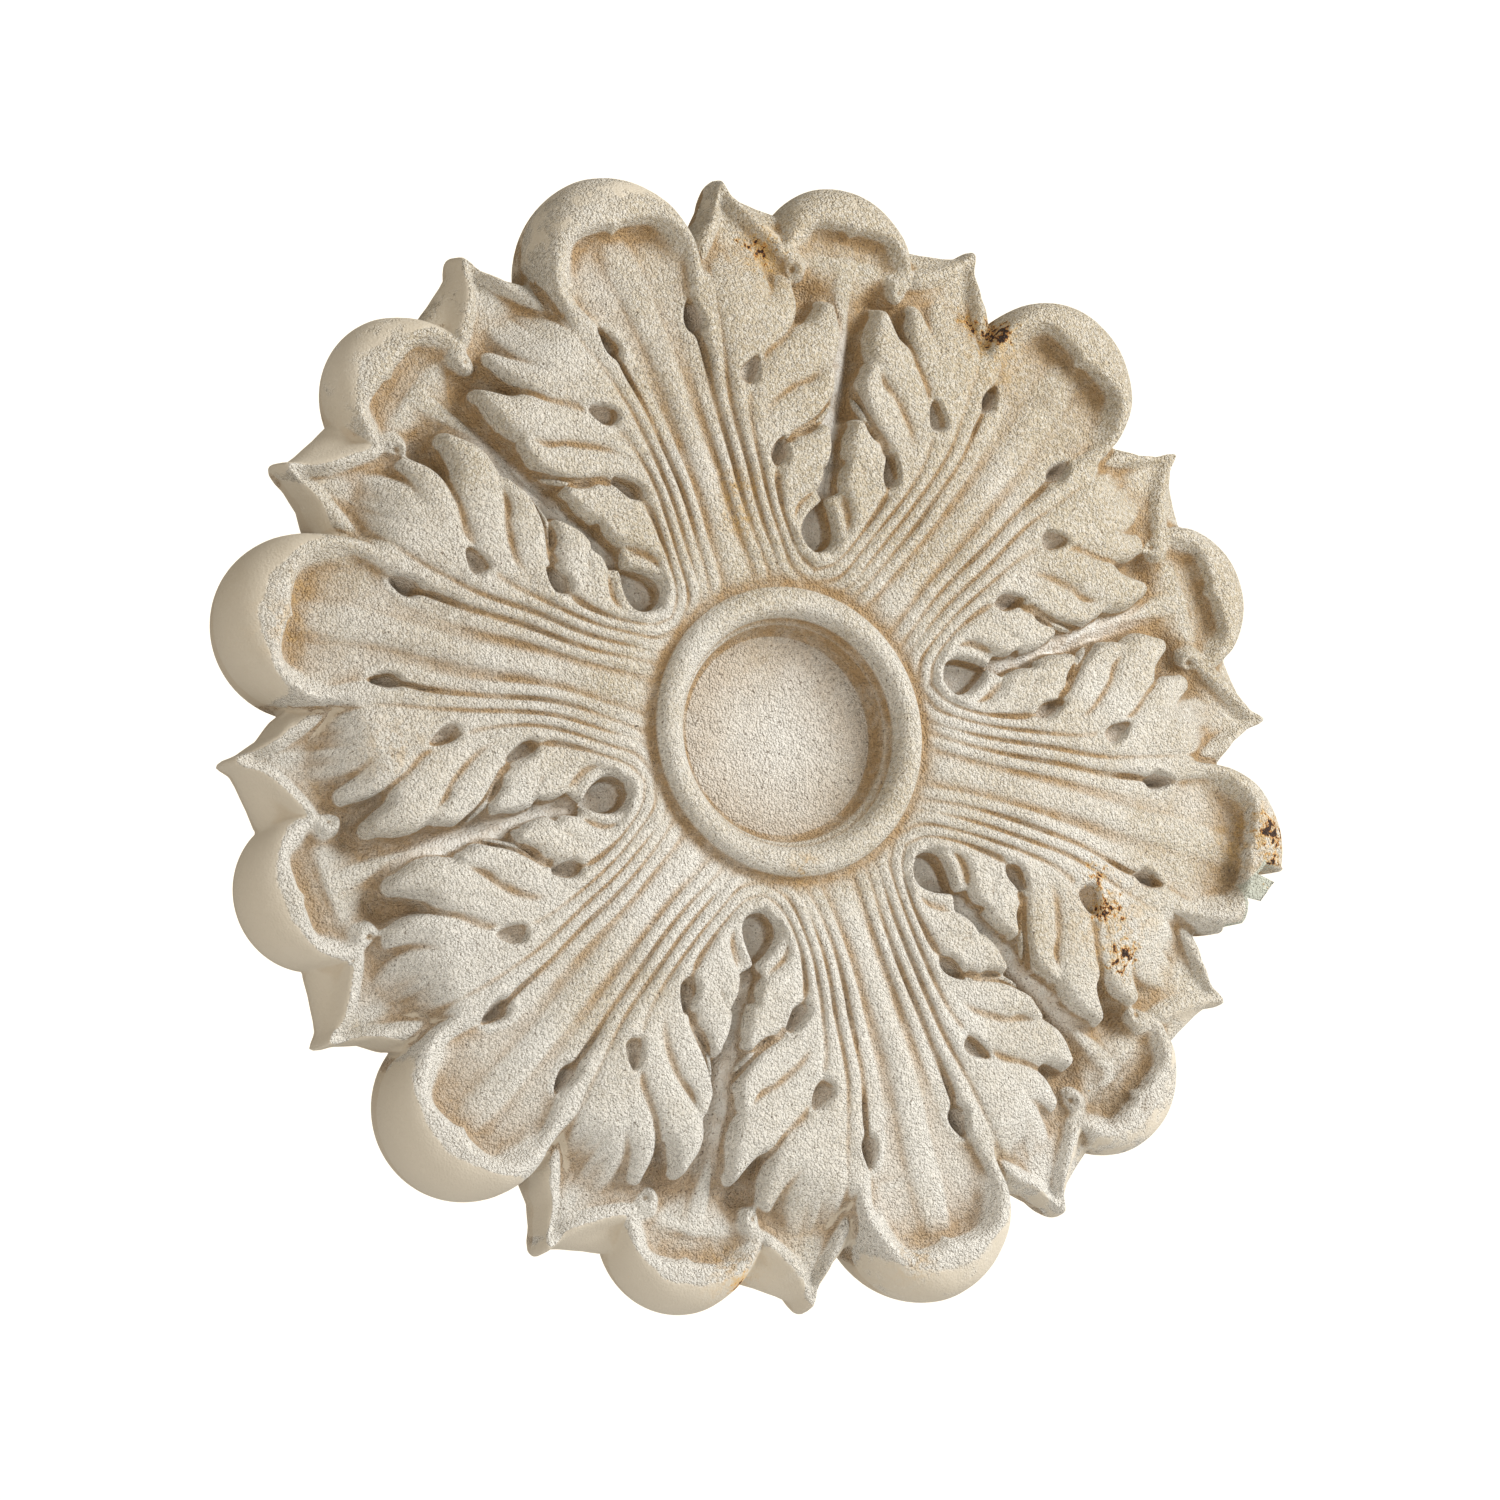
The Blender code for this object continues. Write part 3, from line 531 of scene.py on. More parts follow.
def wander(a, b, seed, waves=7):
    chance = random.Random(seed)
    total = np.zeros_like(a)
    for _ in range(waves):
        heading = chance.uniform(0, 2 * math.pi)
        scale = 2 * math.pi / (WAVE_PITCH * chance.uniform(0.6, 1.6))
        phase = chance.uniform(0, 2 * math.pi)
        total = total + np.sin(scale * (a * math.cos(heading) + b * math.sin(heading)) + phase)
    return total / math.sqrt(waves)


# %% The torn cup
TORN_LEAF = 2
TEAR = ((0.6, 0.945), (3.9, 0.910), (7.4, 0.933), (8.8, 0.895))     # degrees past the axis, share of reach
TAB_START = 2.2
TAB_END = 5.0
TAB_REACH = 0.970
TAB_DROP = 0.024


def torn_rim(rim, bearing):
    off = (bearing + TURN - 2 * SECTOR * TORN_LEAF + 180.0) % 360.0 - 180.0
    in_tear = (off > TEAR[0][0]) & (off < TEAR[-1][0])
    torn = np.where(in_tear, np.minimum(rim, by_share(off, TEAR) * CUP_REACH), rim)
    tab = (TAB_REACH - TAB_DROP * (off - TAB_START) / (TAB_END - TAB_START)) * CUP_REACH
    in_tab = (off > TAB_START) & (off < TAB_END)
    return np.where(in_tab, np.minimum(rim, tab), torn), torn


print("the tear spans", round(TEAR[-1][0] - TEAR[0][0], 1), "degrees of the rim")

# %% [markdown]
# ## From a flat grid to the rosette
#
# The mesh starts as one flat grid that is wrapped round the rosette's axis. A point's column is its
# bearing, which says on which leaf it lies, and its row says how far out. The last rows roll under
# the rim to the flat back. Spinning a line of points would give the same disc, but takes minutes at
# this size. The grid is finer than it needs to be, and Decimate takes points away where the surface
# is calm, which leaves them in the grooves and lips.

# %% A flat grid in columns and rows
COLUMNS = 1320
FRONT_ROWS = 250
UNDER_SHARES = (0.06, 0.12, 0.2, 0.3, 0.4, 0.5, 0.6, 0.7, 0.8, 0.88, 0.95, 1.0)
ROW_PLACES = [i / FRONT_ROWS for i in range(FRONT_ROWS + 1)] + [1.0 + share for share in UNDER_SHARES]


def flat_grid():
    grid = bmesh.new()
    bmesh.ops.create_grid(grid, x_segments=COLUMNS, y_segments=len(ROW_PLACES) - 1, size=1.0)
    mesh = bpy.data.meshes.new("rosette_surface")
    grid.to_mesh(mesh)
    grid.free()
    return mesh


# %% Height of the face at any place
def leaf_place(across, up):
    off = (np.degrees(np.arctan2(across, up)) + TURN) % (2 * SECTOR)
    return np.minimum(off, 2 * SECTOR - off), np.where(off < SECTOR, 1.0, -1.0)


def face_height(across, up, fade):
    strayed_x = across + DRIFT * fade * wander(across, up, 11)
    strayed_y = up + DRIFT * fade * wander(across, up, 23)
    height = front_height(np.hypot(strayed_x, strayed_y), *leaf_place(strayed_x, strayed_y))
    return height + DRIFT_HEIGHT * fade * wander(across, up, 37)


def stray_fade(radius, edge):
    return smooth_step(RING_FOOT, 1.5 * RING_FOOT, radius) * smooth_step(0.0, 0.07 * CUP_REACH, edge - radius)


# %% Carve rows and bearings into places
EVEN_REACH = 0.9 * CUP_REACH        # the rows are even circles inside, and follow the rim near it


def carve(rows, bearing):
    turn = np.radians(bearing)
    rim = rim_radius(leaf_place(np.sin(turn), np.cos(turn))[0])
    edge, wall = torn_rim(rim, bearing)
    share = np.minimum(rows, 1.0)
    radius = np.minimum(EVEN_REACH * share + (rim - EVEN_REACH) * smooth_step(0.6, 1.0, share), edge)
    height = face_height(radius * np.sin(turn), radius * np.cos(turn), stray_fade(radius, rim))
    under = np.clip(rows - 1.0, 0.0, 1.0)
    tucked = wall - RIM_TUCK * (1.0 - np.sqrt(1.0 - under ** 2))
    radius = np.where(rows > 1.0, np.minimum(edge, tucked), radius)
    height = np.where(rows > 1.0, height * (1.0 - under), height)
    return np.stack((radius * np.sin(turn), -height, radius * np.cos(turn)), axis=1)


# %% [markdown]
# The coat of sand rounds every edge by about a millimetre, and two passes of smooth_vert do the same. They
# act on the height alone, so the outline stays where it is. Doubles are the grid's two ends, which meet.

# %% Wrap the grid, carve it, soften it and close its back
SOFT_PASSES = 2
DOUBLE_DISTANCE = 1e-6


def make_surface():
    mesh = flat_grid()
    flat = np.empty(3 * len(mesh.vertices), dtype=np.float32)
    mesh.vertices.foreach_get("co", flat)
    flat = flat.reshape(-1, 3).astype(float)
    row = (flat[:, 1] + 1.0) / 2.0 * (len(ROW_PLACES) - 1)
    places = carve(np.interp(row, range(len(ROW_PLACES)), ROW_PLACES), (flat[:, 0] + 1.0) * 180.0)
    mesh.vertices.foreach_set("co", places.astype(np.float32).ravel())
    shell = bmesh.new()
    shell.from_mesh(mesh)
    bmesh.ops.remove_doubles(shell, verts=shell.verts, dist=DOUBLE_DISTANCE)
    face_verts = [vert for vert in shell.verts if vert.co.y < -RIM_TUCK / 4]
    for _ in range(SOFT_PASSES):
        bmesh.ops.smooth_vert(shell, verts=face_verts, factor=0.5, use_axis_y=True)
    bmesh.ops.contextual_create(shell, geom=[edge for edge in shell.edges if edge.is_boundary])
    bmesh.ops.recalc_face_normals(shell, faces=shell.faces)
    shell.to_mesh(mesh)
    shell.free()
    return mesh


# %% Thin it out
TRIANGLES = 190000


def thinned(mesh):
    rough = bpy.data.objects.new("rosette_rough", mesh)
    bpy.context.scene.collection.objects.link(rough)
    thin = rough.modifiers.new("fewer_faces", "DECIMATE")
    thin.ratio = TRIANGLES / sum(len(face.vertices) - 2 for face in mesh.polygons)
    result = bpy.data.meshes.new_from_object(rough.evaluated_get(bpy.context.evaluated_depsgraph_get()))
    bpy.data.objects.remove(rough)
    return result


surface = thinned(make_surface())
surface.name = "rosette_surface"
surface.shade_smooth()
rosette = bpy.data.objects.new("rosette_relief", surface)
bpy.context.scene.collection.objects.link(rosette)
print("kept surface:", len(surface.polygons), "faces")

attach(rosette, "root")
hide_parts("rosette")

# %% [markdown]
# ## Where the patina sits
#
# Tan dirt stays in hollows and grooves and is worn off the crests. A renderer could measure that as
# it goes, but an exported model couldn't, so the script measures it once. It compares each point's
# height with the average height round it, at three scales, and keeps the result on the mesh as an
# attribute. Slopes that face down and to the left, away from the key lamp, get the same tan as painted
# shade.

# %% Blurred height maps
MAP_STEP = 0.0010
MAP_HALF = 0.310            # half the map's side, a little more than the rosette's reach
print("the map has", round(2 * MAP_HALF / MAP_STEP), "cells on each side")


def height_map():
    line = np.arange(-MAP_HALF, MAP_HALF + MAP_STEP, MAP_STEP)
    across, up = np.meshgrid(line, line)
    radius = np.hypot(across, up)
    edge = rim_radius(leaf_place(across, up)[0])
    height = face_height(across, up, stray_fade(radius, edge))
    return np.where(radius < edge, height, 0.0)


def blurred(grid, reach):
    cells = int(3 * reach / MAP_STEP)
    weights = np.exp(-(np.arange(-cells, cells + 1) * MAP_STEP / reach) ** 2 / 2)
    weights = weights / weights.sum()
    for axis in (0, 1):
        grid = np.apply_along_axis(lambda row: np.convolve(row, weights, mode="same"), axis, grid)
    return grid


def read_map(grid, across, up):
    column = np.clip((across + MAP_HALF) / MAP_STEP, 0, grid.shape[1] - 1.001)
    row = np.clip((up + MAP_HALF) / MAP_STEP, 0, grid.shape[0] - 1.001)
    c, r = column.astype(int), row.astype(int)
    u, v = column - c, row - r
    low = grid[r, c] * (1 - u) + grid[r, c + 1] * u
    high = grid[r + 1, c] * (1 - u) + grid[r + 1, c + 1] * u
    return low * (1 - v) + high * v


# %% Hollows at three scales
# how far round a point the height is averaged, the depth that counts as a full hollow, and its share
HOLLOW_SCALES = ((0.0022, 0.0012, 0.40), (0.0050, 0.0040, 0.40), (0.0160, 0.0090, 0.50))


def disc_mask(x, z):
    return smooth_step(RECESS_RADIUS * 1.02, RECESS_RADIUS * 0.94, np.hypot(x, z))


def eye_floors(x, z):
    drawn = leaf_drawing(np.hypot(x, z), *leaf_place(x, z))
    return smooth_step(0.35, 0.75, -cut_eyes(np.zeros_like(x), *drawn) / EYE_DEPTH)


def hollowness(x, z, height):
    sharp = height_map()
    total = np.zeros_like(x)
    for reach, depth, share in HOLLOW_SCALES:
        total = total + share * np.clip((read_map(blurred(sharp, reach), x, z) - height) / depth, -1.0, 1.5)
    return total * (1.0 - disc_mask(x, z)) * (1.0 - 0.7 * eye_floors(x, z))


# %% Painted shade on the slopes that face down and left, away from the key lamp
# painted shade: how much tan the slopes that face away from the key lamp get
LEE_SHADE = 0.38


def painted_lee_shade(normals):
    nx, ny, nz = normals
    return LEE_SHADE * np.clip(-(nx + nz) / math.sqrt(2), 0.0, 1.0)


# %% [markdown]
# The smooth parts need a mask too. The bulbs and the leaflets' outer walls face outwards near the rim,
# and the lower leaves' midribs and the holes' floors lie on the lower layer beside its axis. Rust,
# yellow stains and grime are single places, listed as seen: how far right and up, how wide and how
# strong. One more mask makes the coat paler towards the bottom and in the sunk disc.

# %% Smooth and pale places
SANDY_WAY = (0.8, 0.6)      # across and up shares of the side on which most sand stuck to the walls
BARE_MIDDLE = 0.66
BARE_SWING = 0.46
LEAST_RADIUS = 1e-6         # keeps the division by the radius safe at the very middle


def smooth_walls(x, z, normals):
    radius = np.maximum(np.hypot(x, z), LEAST_RADIUS)
    nx, ny, nz = normals
    outward = (nx * x + nz * z) / radius
    edge = rim_radius(leaf_place(x, z)[0])
    near_rim = smooth_step(0.10 * CUP_REACH, 0.06 * CUP_REACH, edge - radius)
    lee = BARE_MIDDLE - BARE_SWING * (SANDY_WAY[0] * x + SANDY_WAY[1] * z) / radius
    return near_rim * smooth_step(0.22, 0.48, outward) * lee


def pale_places(x, z, height):
    radius = np.hypot(x, z)
    angle, side = leaf_place(x, z)
    turn = np.radians(angle)
    lower = lower_leaf(radius * np.sin(turn), radius * np.cos(turn), radius, angle)
    bare = smooth_step(0.0040, 0.0015, height - lower)
    along = (radius - RING_FOOT) / LEAF_LENGTH
    axis = smooth_step(0.8 * MIDRIB_WIDTH, 0.4 * MIDRIB_WIDTH, radius * np.sin(np.radians(SECTOR - angle)))
    midrib = bare * axis * smooth_step(0.18, 0.25, along) * smooth_step(0.72, 0.55, along)
    floor = smooth_step(0.0020, 0.0006, np.abs(height - HOLE_FLOOR)) * smooth_step(0.23, 0.2, along)
    floor = floor * smooth_step(0.02, 0.04, along) * smooth_step(0.7, 0.8, angle / SECTOR)
    return np.maximum(np.maximum(midrib, floor), 0.5 * eye_floors(x, z))


# %% Torn sheet
def torn_places(x, z):
    bearing = np.degrees(np.arctan2(x, z))
    whole = rim_radius(leaf_place(x, z)[0])
    wall = torn_rim(whole, bearing)[1]
    near = smooth_step(0.0035, 0.0010, wall - np.hypot(x, z))
    return near * (whole - wall > RIM_TUCK / 12)


# %% Rust, stains, grime and a paler lower part
RUST = ((-0.006, 0.252, 0.017, 0.75), (0.124, 0.219, 0.013, 1.0), (0.113, 0.224, 0.012, 0.7),
        (0.175, -0.064, 0.012, 0.7), (0.181, -0.082, 0.012, 0.9), (0.190, -0.105, 0.013, 0.9),
        (0.281, -0.035, 0.014, 1.0), (0.284, -0.052, 0.010, 1.0), (-0.015, -0.279, 0.009, 0.8))
STAINS = ((-0.030, 0.122, 0.010, 0.9), (-0.029, 0.108, 0.010, 0.8), (0.006, -0.069, 0.007, 0.8),
          (-0.266, 0.038, 0.013, 0.6), (-0.261, 0.056, 0.010, 0.5), (0.074, -0.262, 0.010, 0.6),
          (-0.213, -0.021, 0.015, 0.4), (0.120, 0.205, 0.020, 0.6), (0.276, -0.038, 0.020, 0.7),
          (-0.020, -0.272, 0.014, 0.6), (-0.004, 0.250, 0.022, 0.5), (0.184, -0.088, 0.026, 0.5))
GRIME = ((0.263, -0.060, 0.018, 0.8), (0.260, -0.086, 0.014, 0.9), (0.198, -0.178, 0.030, 0.8),
         (0.158, -0.165, 0.026, 0.4), (0.155, 0.190, 0.030, 0.5), (0.208, 0.176, 0.018, 0.6),
         (0.128, -0.205, 0.024, 0.4), (0.030, 0.190, 0.020, 0.3), (0.240, 0.036, 0.022, 0.4),
         (-0.180, 0.050, 0.060, 0.3), (-0.050, 0.180, 0.060, 0.3), (0.085, 0.120, 0.050, 0.2))
PALER_BELOW_WAY = (0.35, 0.94)   # across and up shares of the way in which the paler tone fades
DISC_PALER = 0.35


# the coat is paler towards the bottom, a little towards the left, and in the sunk disc
def paler_below_places(x, z):
    low = -(PALER_BELOW_WAY[0] * x + PALER_BELOW_WAY[1] * z) / CUP_REACH
    return 0.5 + 0.5 * low + DISC_PALER * disc_mask(x, z)


def blotches(x, z, places):
    total = np.zeros_like(x)
    for across, up, reach, amount in places:
        total = np.maximum(total, amount * bell(np.hypot(x - across, z - up), reach))
    return total


# %% Keep the masks as attributes
def write_attribute(mesh, name, values):
    layer = mesh.attributes.new(name, "FLOAT", "POINT")
    layer.data.foreach_set("value", np.asarray(values, dtype=np.float32))
    print(name, "from", round(float(values.min()), 2), "to", round(float(values.max()), 2))


def mark_surface(mesh):
    places = np.empty(3 * len(mesh.vertices), dtype=np.float32)
    mesh.vertices.foreach_get("co", places)
    x, y, z = places.reshape(-1, 3).astype(float).T
    normals = np.empty(3 * len(mesh.vertices), dtype=np.float32)
    mesh.vertices.foreach_get("normal", normals)
    normals = normals.reshape(-1, 3).T.astype(float)
    # this mask is tan patina in the hollows plus painted shade on the slopes that face away from the key lamp
    write_attribute(mesh, "hollow_and_lee_shade", hollowness(x, z, -y) + painted_lee_shade(normals))
    write_attribute(mesh, "smooth_wall", smooth_walls(x, z, normals))
    write_attribute(mesh, "pale", pale_places(x, z, -y))
    write_attribute(mesh, "torn", torn_places(x, z))
    write_attribute(mesh, "rust", blotches(x, z, RUST))
    write_attribute(mesh, "stain", blotches(x, z, STAINS))
    write_attribute(mesh, "grime", blotches(x, z, GRIME))
    write_attribute(mesh, "paler_below", paler_below_places(x, z))
    write_attribute(mesh, "back", smooth_step(0.004, 0.0005, -y))


mark_surface(surface)

# %% [markdown]
# ## The finish
#
# Cream sand lies over the whole face, some grains whiter than the next, with dark specks between them.
# Tan patina follows the measured hollows, and the same tan is painted shade on the slopes that face away
# from the key lamp. The outer walls are smoother and plainer, as if less sand stuck there. The colours
# are layered from the cream up, one mask at a time, and the grains are a bump, because they are too
# fine for the mesh.

# %% Colours of the coat
CREAM = (0.56, 0.475, 0.34, 1)
WHITE_SAND = (0.79, 0.755, 0.685, 1)
TAN = (0.43, 0.27, 0.12, 1)
WALL_GREY = (0.53, 0.465, 0.365, 1)
CHALK = (0.80, 0.78, 0.73, 1)
YELLOW_STAIN = (0.56, 0.34, 0.10, 1)
GRIME_BROWN = (0.26, 0.175, 0.09, 1)
RUST_YELLOW = (0.64, 0.40, 0.13, 1)
RUST_ORANGE = (0.50, 0.20, 0.04, 1)
RUST_DARK = (0.045, 0.020, 0.010, 1)
TORN_SHEET = (0.52, 0.54, 0.45, 1)
SPECK = (0.17, 0.12, 0.075, 1)
BACK_BROWN = (0.30, 0.24, 0.17, 1)
print("patina and sand differ by", round(WHITE_SAND[0] - TAN[0], 2), "in red")


# %% Small builders for shader nodes
class Layers:
    def __init__(self, material):
        self.nodes = material.node_tree.nodes
        self.links = material.node_tree.links
        self.place = self.nodes.new("ShaderNodeTexCoord").outputs["Object"]

    def attribute(self, name):
        node = self.nodes.new("ShaderNodeAttribute")
        node.attribute_name = name
        return node.outputs["Fac"]

    def noise(self, scale, detail=2.0, roughness=0.5):
        node = self.nodes.new("ShaderNodeTexNoise")
        node.inputs["Scale"].default_value = scale
        node.inputs["Detail"].default_value = detail
        node.inputs["Roughness"].default_value = roughness
        self.links.new(self.place, node.inputs["Vector"])
        return node.outputs["Fac"]

    def cells(self, scale):
        node = self.nodes.new("ShaderNodeTexVoronoi")
        node.inputs["Scale"].default_value = scale
        self.links.new(self.place, node.inputs["Vector"])
        return node

    def ramp(self, value, low, high, to_low=0.0, to_high=1.0):
        node = self.nodes.new("ShaderNodeMapRange")
        node.interpolation_type = "SMOOTHSTEP"
        for name, number in zip(("From Min", "From Max", "To Min", "To Max"), (low, high, to_low, to_high)):
            node.inputs[name].default_value = number
        self.links.new(value, node.inputs["Value"])
        return node.outputs["Result"]

    def maths(self, kind, a, b):
        node = self.nodes.new("ShaderNodeMath")
        node.operation = kind
        for socket, value in zip(node.inputs, (a, b)):
            if isinstance(value, (int, float)):
                socket.default_value = value
            else:
                self.links.new(value, socket)
        return node.outputs["Value"]

    def mix(self, amount, a, b):
        node = self.nodes.new("ShaderNodeMix")
        node.data_type = "RGBA"
        self.links.new(amount, node.inputs["Factor"])
        for name, value in (("A", a), ("B", b)):
            socket = [s for s in node.inputs if s.name == name and s.type == "RGBA"][0]
            if isinstance(value, tuple):
                socket.default_value = value
            else:
                self.links.new(value, socket)
        return [s for s in node.outputs if s.type == "RGBA"][0]


# %% Sand, patina and walls
WEATHER_SCALE = 14.0        # noise scales count patches per metre, about
GRAIN_SCALE = 800.0
PATCH_SCALE = 75.0
CLOUD_SCALE = 90.0
WHITE_GRAINS = 0.60         # how far the whitest grains are from the coat's own colour
PATINA_AND_LEE_SHADE_STRENGTH = 0.95


def sand_colour(coat, bare):
    paler_below_share = coat.maths("MULTIPLY", coat.attribute("paler_below"), 0.5)
    sand_tone = coat.maths("ADD", coat.noise(WEATHER_SCALE, 4.0, 0.6), paler_below_share)
    base = coat.mix(coat.ramp(sand_tone, 0.50, 1.0), CREAM, WHITE_SAND)
    shade = coat.ramp(coat.cells(GRAIN_SCALE).outputs["Color"], 0.2, 0.9, 0.0, WHITE_GRAINS)
    base = coat.mix(shade, base, WHITE_SAND)
    broken = coat.ramp(coat.noise(PATCH_SCALE, 5.0, 0.65), 0.30, 0.62, 0.60, 1.0)
    broken = coat.maths("MULTIPLY", broken, coat.ramp(coat.attribute("paler_below"), 0.4, 1.0, 1.0, 0.80))
    # tan patina in the hollows, and painted shade on the slopes that face away from the key lamp
    patina_and_lee_shade = coat.ramp(coat.attribute("hollow_and_lee_shade"), -0.05, 0.50, 0.0, PATINA_AND_LEE_SHADE_STRENGTH)
    base = coat.mix(coat.maths("MULTIPLY", patina_and_lee_shade, broken), base, TAN)
    base = coat.mix(bare, base, WALL_GREY)
    cloudy = coat.ramp(coat.noise(CLOUD_SCALE, 3.0), 0.3, 0.6, 0.55, 0.95)
    return coat.mix(coat.maths("MULTIPLY", coat.attribute("pale"), cloudy), base, CHALK)


# %% Stains, rust and specks
DIRT_SCALE = 110.0
SEEP_SCALE = 180.0
RUST_SCALE = 300.0
SPECK_SCALE = 760.0
RUST_LIFT = 0.42            # how far a rusty place lifts the noise over the rust's thresholds


def stained(coat, bare, base):
    # the mask that lifts the grime here holds the hollows and the painted-shade slopes
    sunk_and_lee_shade = coat.maths("MULTIPLY", coat.attribute("hollow_and_lee_shade"), 0.12)
    dirt = coat.ramp(coat.maths("ADD", coat.noise(DIRT_SCALE, 6.0, 0.75), sunk_and_lee_shade), 0.38, 0.66)
    base = coat.mix(coat.maths("MULTIPLY", coat.attribute("grime"), dirt), base, GRIME_BROWN)
    seeping = coat.ramp(coat.noise(SEEP_SCALE, 4.0, 0.7), 0.42, 0.62)
    base = coat.mix(coat.maths("MULTIPLY", coat.attribute("stain"), seeping), base, YELLOW_STAIN)
    lift = coat.maths("MULTIPLY", coat.attribute("rust"), RUST_LIFT)
    base = coat.mix(coat.ramp(coat.attribute("torn"), 0.2, 0.8, 0.0, 0.85), base, TORN_SHEET)
    rusty = coat.maths("ADD", coat.noise(RUST_SCALE, 3.0, 0.6), lift)
    base = coat.mix(coat.ramp(rusty, 0.72, 0.86, 0.0, 0.8), base, RUST_YELLOW)
    base = coat.mix(coat.ramp(rusty, 0.84, 0.88), base, RUST_ORANGE)
    base = coat.mix(coat.ramp(rusty, 0.885, 0.91), base, RUST_DARK)
    specks = coat.ramp(coat.noise(SPECK_SCALE, 1.0, 0.4), 0.66, 0.72)
    specks = coat.maths("MULTIPLY", specks, coat.ramp(bare, 0.0, 0.8, 0.70, 0.05))
    base = coat.mix(specks, base, SPECK)
    return coat.mix(coat.ramp(coat.attribute("back"), 0.1, 0.9), base, BACK_BROWN)


# %% Grains as a bump
BUMP_GRAINS = 760.0
BUMP_FINE = 1200.0
BUMP_LUMPS = 330.0
SAND_LEVEL = 2.05           # the grains' middle height, so that a bare wall starts without a step


def sand_bump(coat, bare):
    grain = coat.ramp(coat.cells(BUMP_GRAINS).outputs["Distance"], 0.0, 0.8, 1.0, 0.0)
    fine = coat.maths("MULTIPLY", coat.noise(BUMP_FINE, 2.0, 0.6), 1.3)
    lumps = coat.maths("MULTIPLY", coat.noise(BUMP_LUMPS, 3.0, 0.6), 2.0)
    sand = coat.maths("ADD", coat.maths("ADD", grain, fine), lumps)
    sand = coat.maths("SUBTRACT", sand, SAND_LEVEL)
    chalk = coat.ramp(coat.attribute("pale"), 0.1, 0.9, 1.0, 0.45)
    sandy = coat.ramp(bare, 0.1, 0.9, 1.0, 0.07)
    return coat.maths("MULTIPLY", sand, coat.maths("MULTIPLY", sandy, chalk))


# %% Stone coat material
COAT_ROUGHNESS = 0.92
RAGGED_SCALE = 60.0
RAGGED = 0.3                # how far the sand's edge on a bare wall runs in and out
BUMP_DEPTH = 0.0013


def stone_material():
    material = bpy.data.materials.new("stone_coat_sand")
    material.use_nodes = True
    shader = material.node_tree.nodes["Principled BSDF"]
    shader.inputs["Roughness"].default_value = COAT_ROUGHNESS
    coat = Layers(material)
    ragged = coat.ramp(coat.noise(RAGGED_SCALE, 5.0, 0.7), 0.3, 0.7, -RAGGED, RAGGED)
    bare = coat.ramp(coat.maths("ADD", coat.attribute("smooth_wall"), ragged), 0.30, 0.78, 0.0, 0.85)
    coat.links.new(stained(coat, bare, sand_colour(coat, bare)), shader.inputs["Base Color"])
    bump = coat.nodes.new("ShaderNodeBump")
    bump.inputs["Strength"].default_value = 1.0
    bump.inputs["Distance"].default_value = BUMP_DEPTH
    coat.links.new(sand_bump(coat, bare), bump.inputs["Height"])
    coat.links.new(bump.outputs["Normal"], shader.inputs["Normal"])
    return material


surface.materials.clear()
surface.materials.append(stone_material())
print("shader nodes:", len(surface.materials[0].node_tree.nodes))

# %% [markdown]
# ## Light, floor and camera
#
# A wide soft lamp stands to the right of the camera and above it, with a weak warm fill low on the
# left, as in a catalogue photo. The backdrop is a warm white. It is bright enough to clip to pure white
# in the picture, but lights the rosette only softly, or the grooves would wash out. The camera stands
# where the photo was taken: a long lens, left of the rosette and a little below it.

# %% Floor
FLOOR_LEVEL = -0.80
FLOOR_HALF = 6.0
FLOOR_WHITE = (0.8, 0.8, 0.8, 1)
floor_mesh = bmesh.new()
bmesh.ops.create_grid(floor_mesh, x_segments=1, y_segments=1, size=FLOOR_HALF)
bmesh.ops.translate(floor_mesh, verts=floor_mesh.verts, vec=(0, 0, FLOOR_LEVEL))
floor_data = bpy.data.meshes.new("floor")
floor_mesh.to_mesh(floor_data)
floor_mesh.free()
floor = bpy.data.objects.new("floor", floor_data)
bpy.context.scene.collection.objects.link(floor)
floor_stone = bpy.data.materials.new("floor_pale")
floor_stone.use_nodes = True
floor_shader = floor_stone.node_tree.nodes["Principled BSDF"]
floor_shader.inputs["Base Color"].default_value = FLOOR_WHITE
floor_shader.inputs["Roughness"].default_value = 0.8
floor_data.materials.append(floor_stone)
print("floor lies", -FLOOR_LEVEL, "m under the rosette's middle")

# %% Lamps
MIDDLE = Vector((0.0, -0.03, 0.0))
KEY_PLACE = (2.6, -2.3, 1.6)
KEY_SIZE = 2.2
KEY_POWER = 188.0
KEY_COLOUR = (0.99, 1.0, 1.0)
FILL_PLACE = (-2.2, -2.2, -0.4)
FILL_SIZE = 1.8
FILL_POWER = 25.0
FILL_COLOUR = (1.0, 0.94, 0.86)


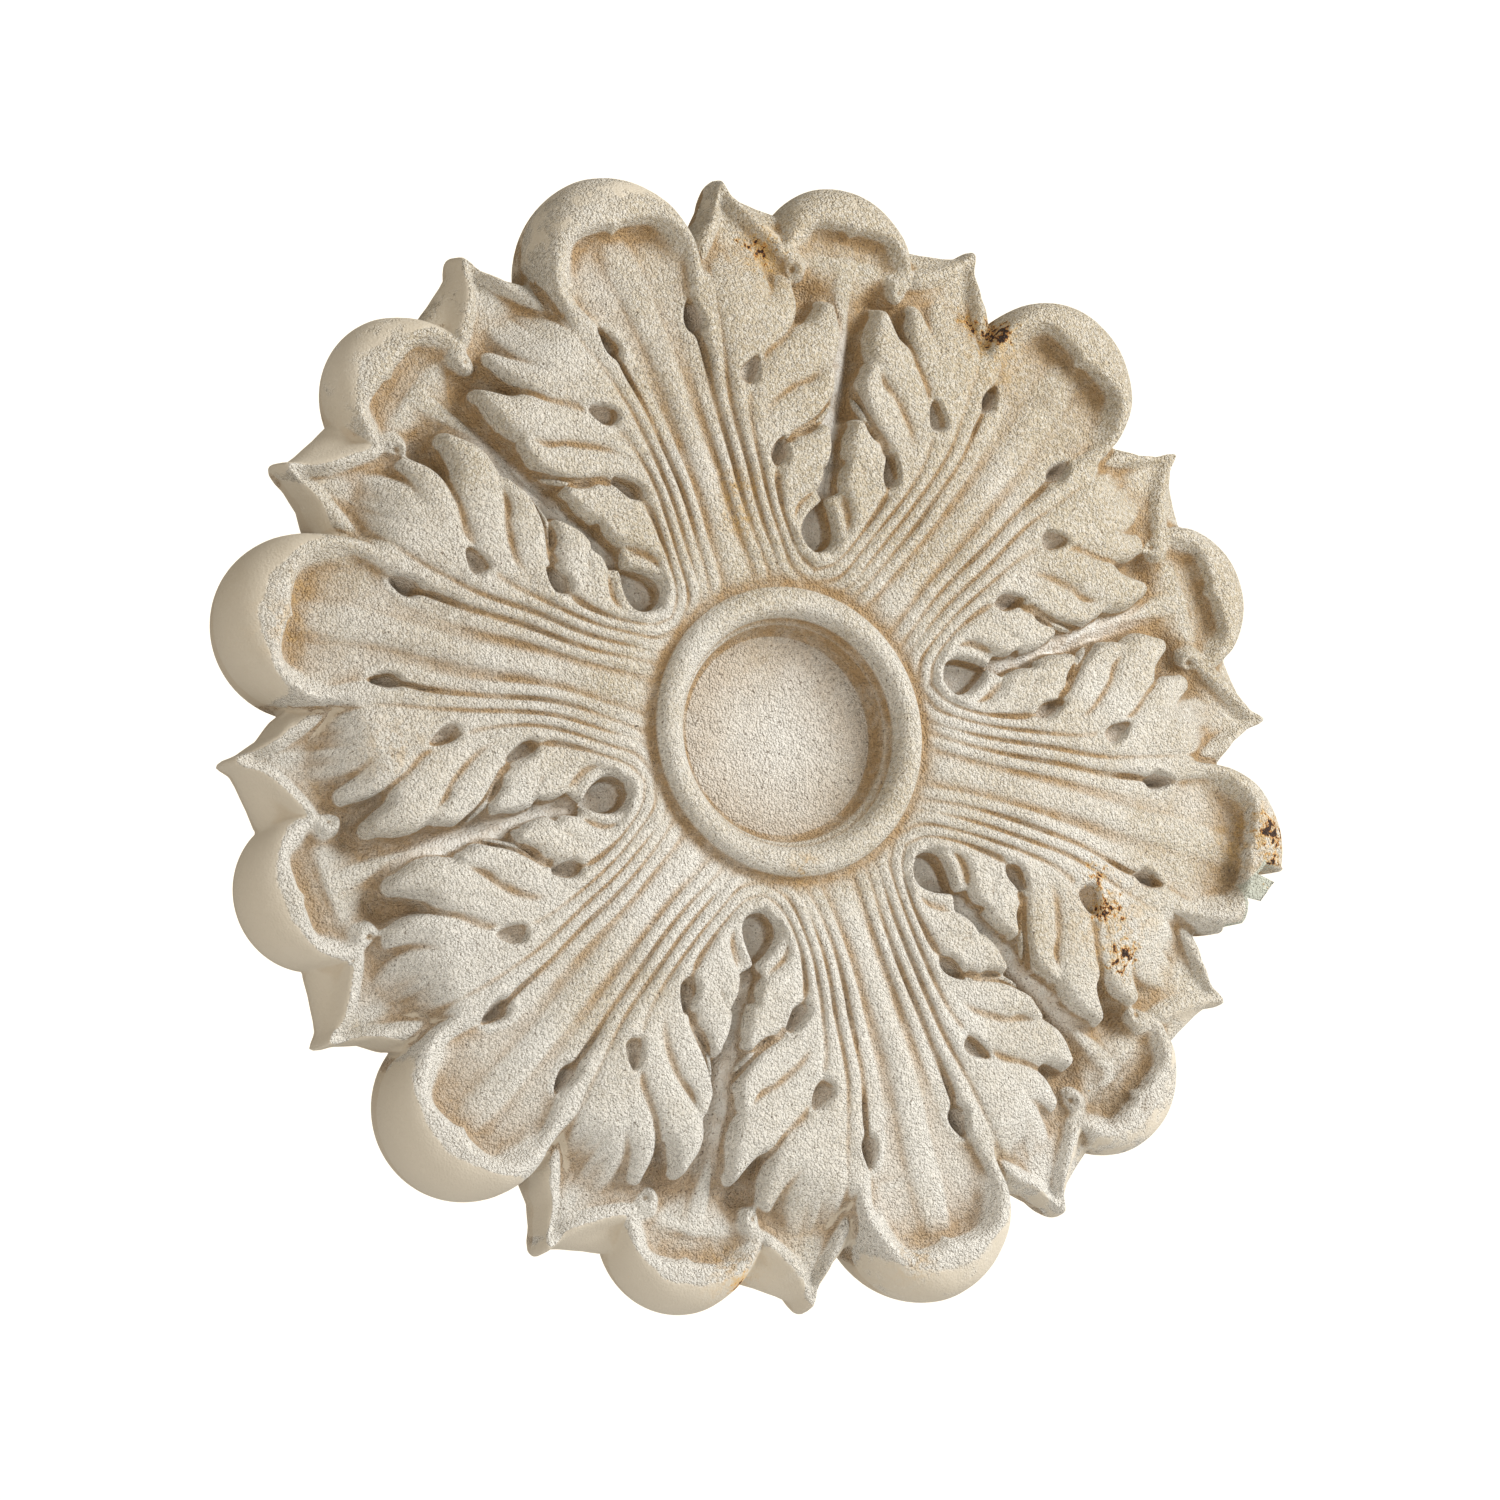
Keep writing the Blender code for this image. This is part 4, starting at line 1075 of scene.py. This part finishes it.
def lamp(name, place, size, power, colour):
    light = bpy.data.lights.new(name, "AREA")
    light.shape = "DISK"
    light.size = size
    light.energy = power
    light.color = colour
    holder = bpy.data.objects.new(name, light)
    bpy.context.scene.collection.objects.link(holder)
    holder.location = place
    holder.rotation_euler = (MIDDLE - Vector(place)).to_track_quat("-Z", "Y").to_euler()
    print(name, "lamp:", power, "W,", round((MIDDLE - Vector(place)).length, 2), "m away")


lamp("key", KEY_PLACE, KEY_SIZE, KEY_POWER, KEY_COLOUR)
lamp("fill", FILL_PLACE, FILL_SIZE, FILL_POWER, FILL_COLOUR)

# %% Backdrop
BACKDROP_GLOW = 0.44        # how strongly the white backdrop lights the rosette
BACKDROP_SEEN = 1.3         # how bright the camera sees it, which clips to pure white
WARM_WHITE = (1.0, 0.93, 0.82, 1)
world = bpy.data.worlds.new("studio")
world.use_nodes = True
sky = world.node_tree.nodes["Background"]
sky.inputs["Color"].default_value = WARM_WHITE
seen = world.node_tree.nodes.new("ShaderNodeLightPath")
glow = world.node_tree.nodes.new("ShaderNodeMapRange")
glow.inputs["To Min"].default_value = BACKDROP_GLOW
glow.inputs["To Max"].default_value = BACKDROP_SEEN
world.node_tree.links.new(seen.outputs["Is Camera Ray"], glow.inputs["Value"])
world.node_tree.links.new(glow.outputs["Result"], sky.inputs["Strength"])
bpy.context.scene.world = world
bpy.context.scene.view_settings.view_transform = "Standard"

# %% Camera
PHOTO_PLANE = 0.030         # the cups' widest level, which the camera's place is measured from
CAMERA_PLACE = (-1.43264, -3.15069 - PHOTO_PLANE, -0.51122)
CAMERA_VIEW = (0.40758, 0.90164, 0.14465)
LENS = 164.7                # millimetres, on a sensor of the usual width
SENSOR_WIDTH = 36.0
camera_data = bpy.data.cameras.new("photo_camera")
camera_data.lens = LENS
camera_data.sensor_width = SENSOR_WIDTH
camera = bpy.data.objects.new("photo_camera", camera_data)
bpy.context.scene.collection.objects.link(camera)
camera.location = CAMERA_PLACE
camera.rotation_euler = Vector(CAMERA_VIEW).to_track_quat("-Z", "Y").to_euler()
bpy.context.scene.camera = camera
print("camera is", round(Vector(CAMERA_PLACE).length, 2), "m from the rosette")
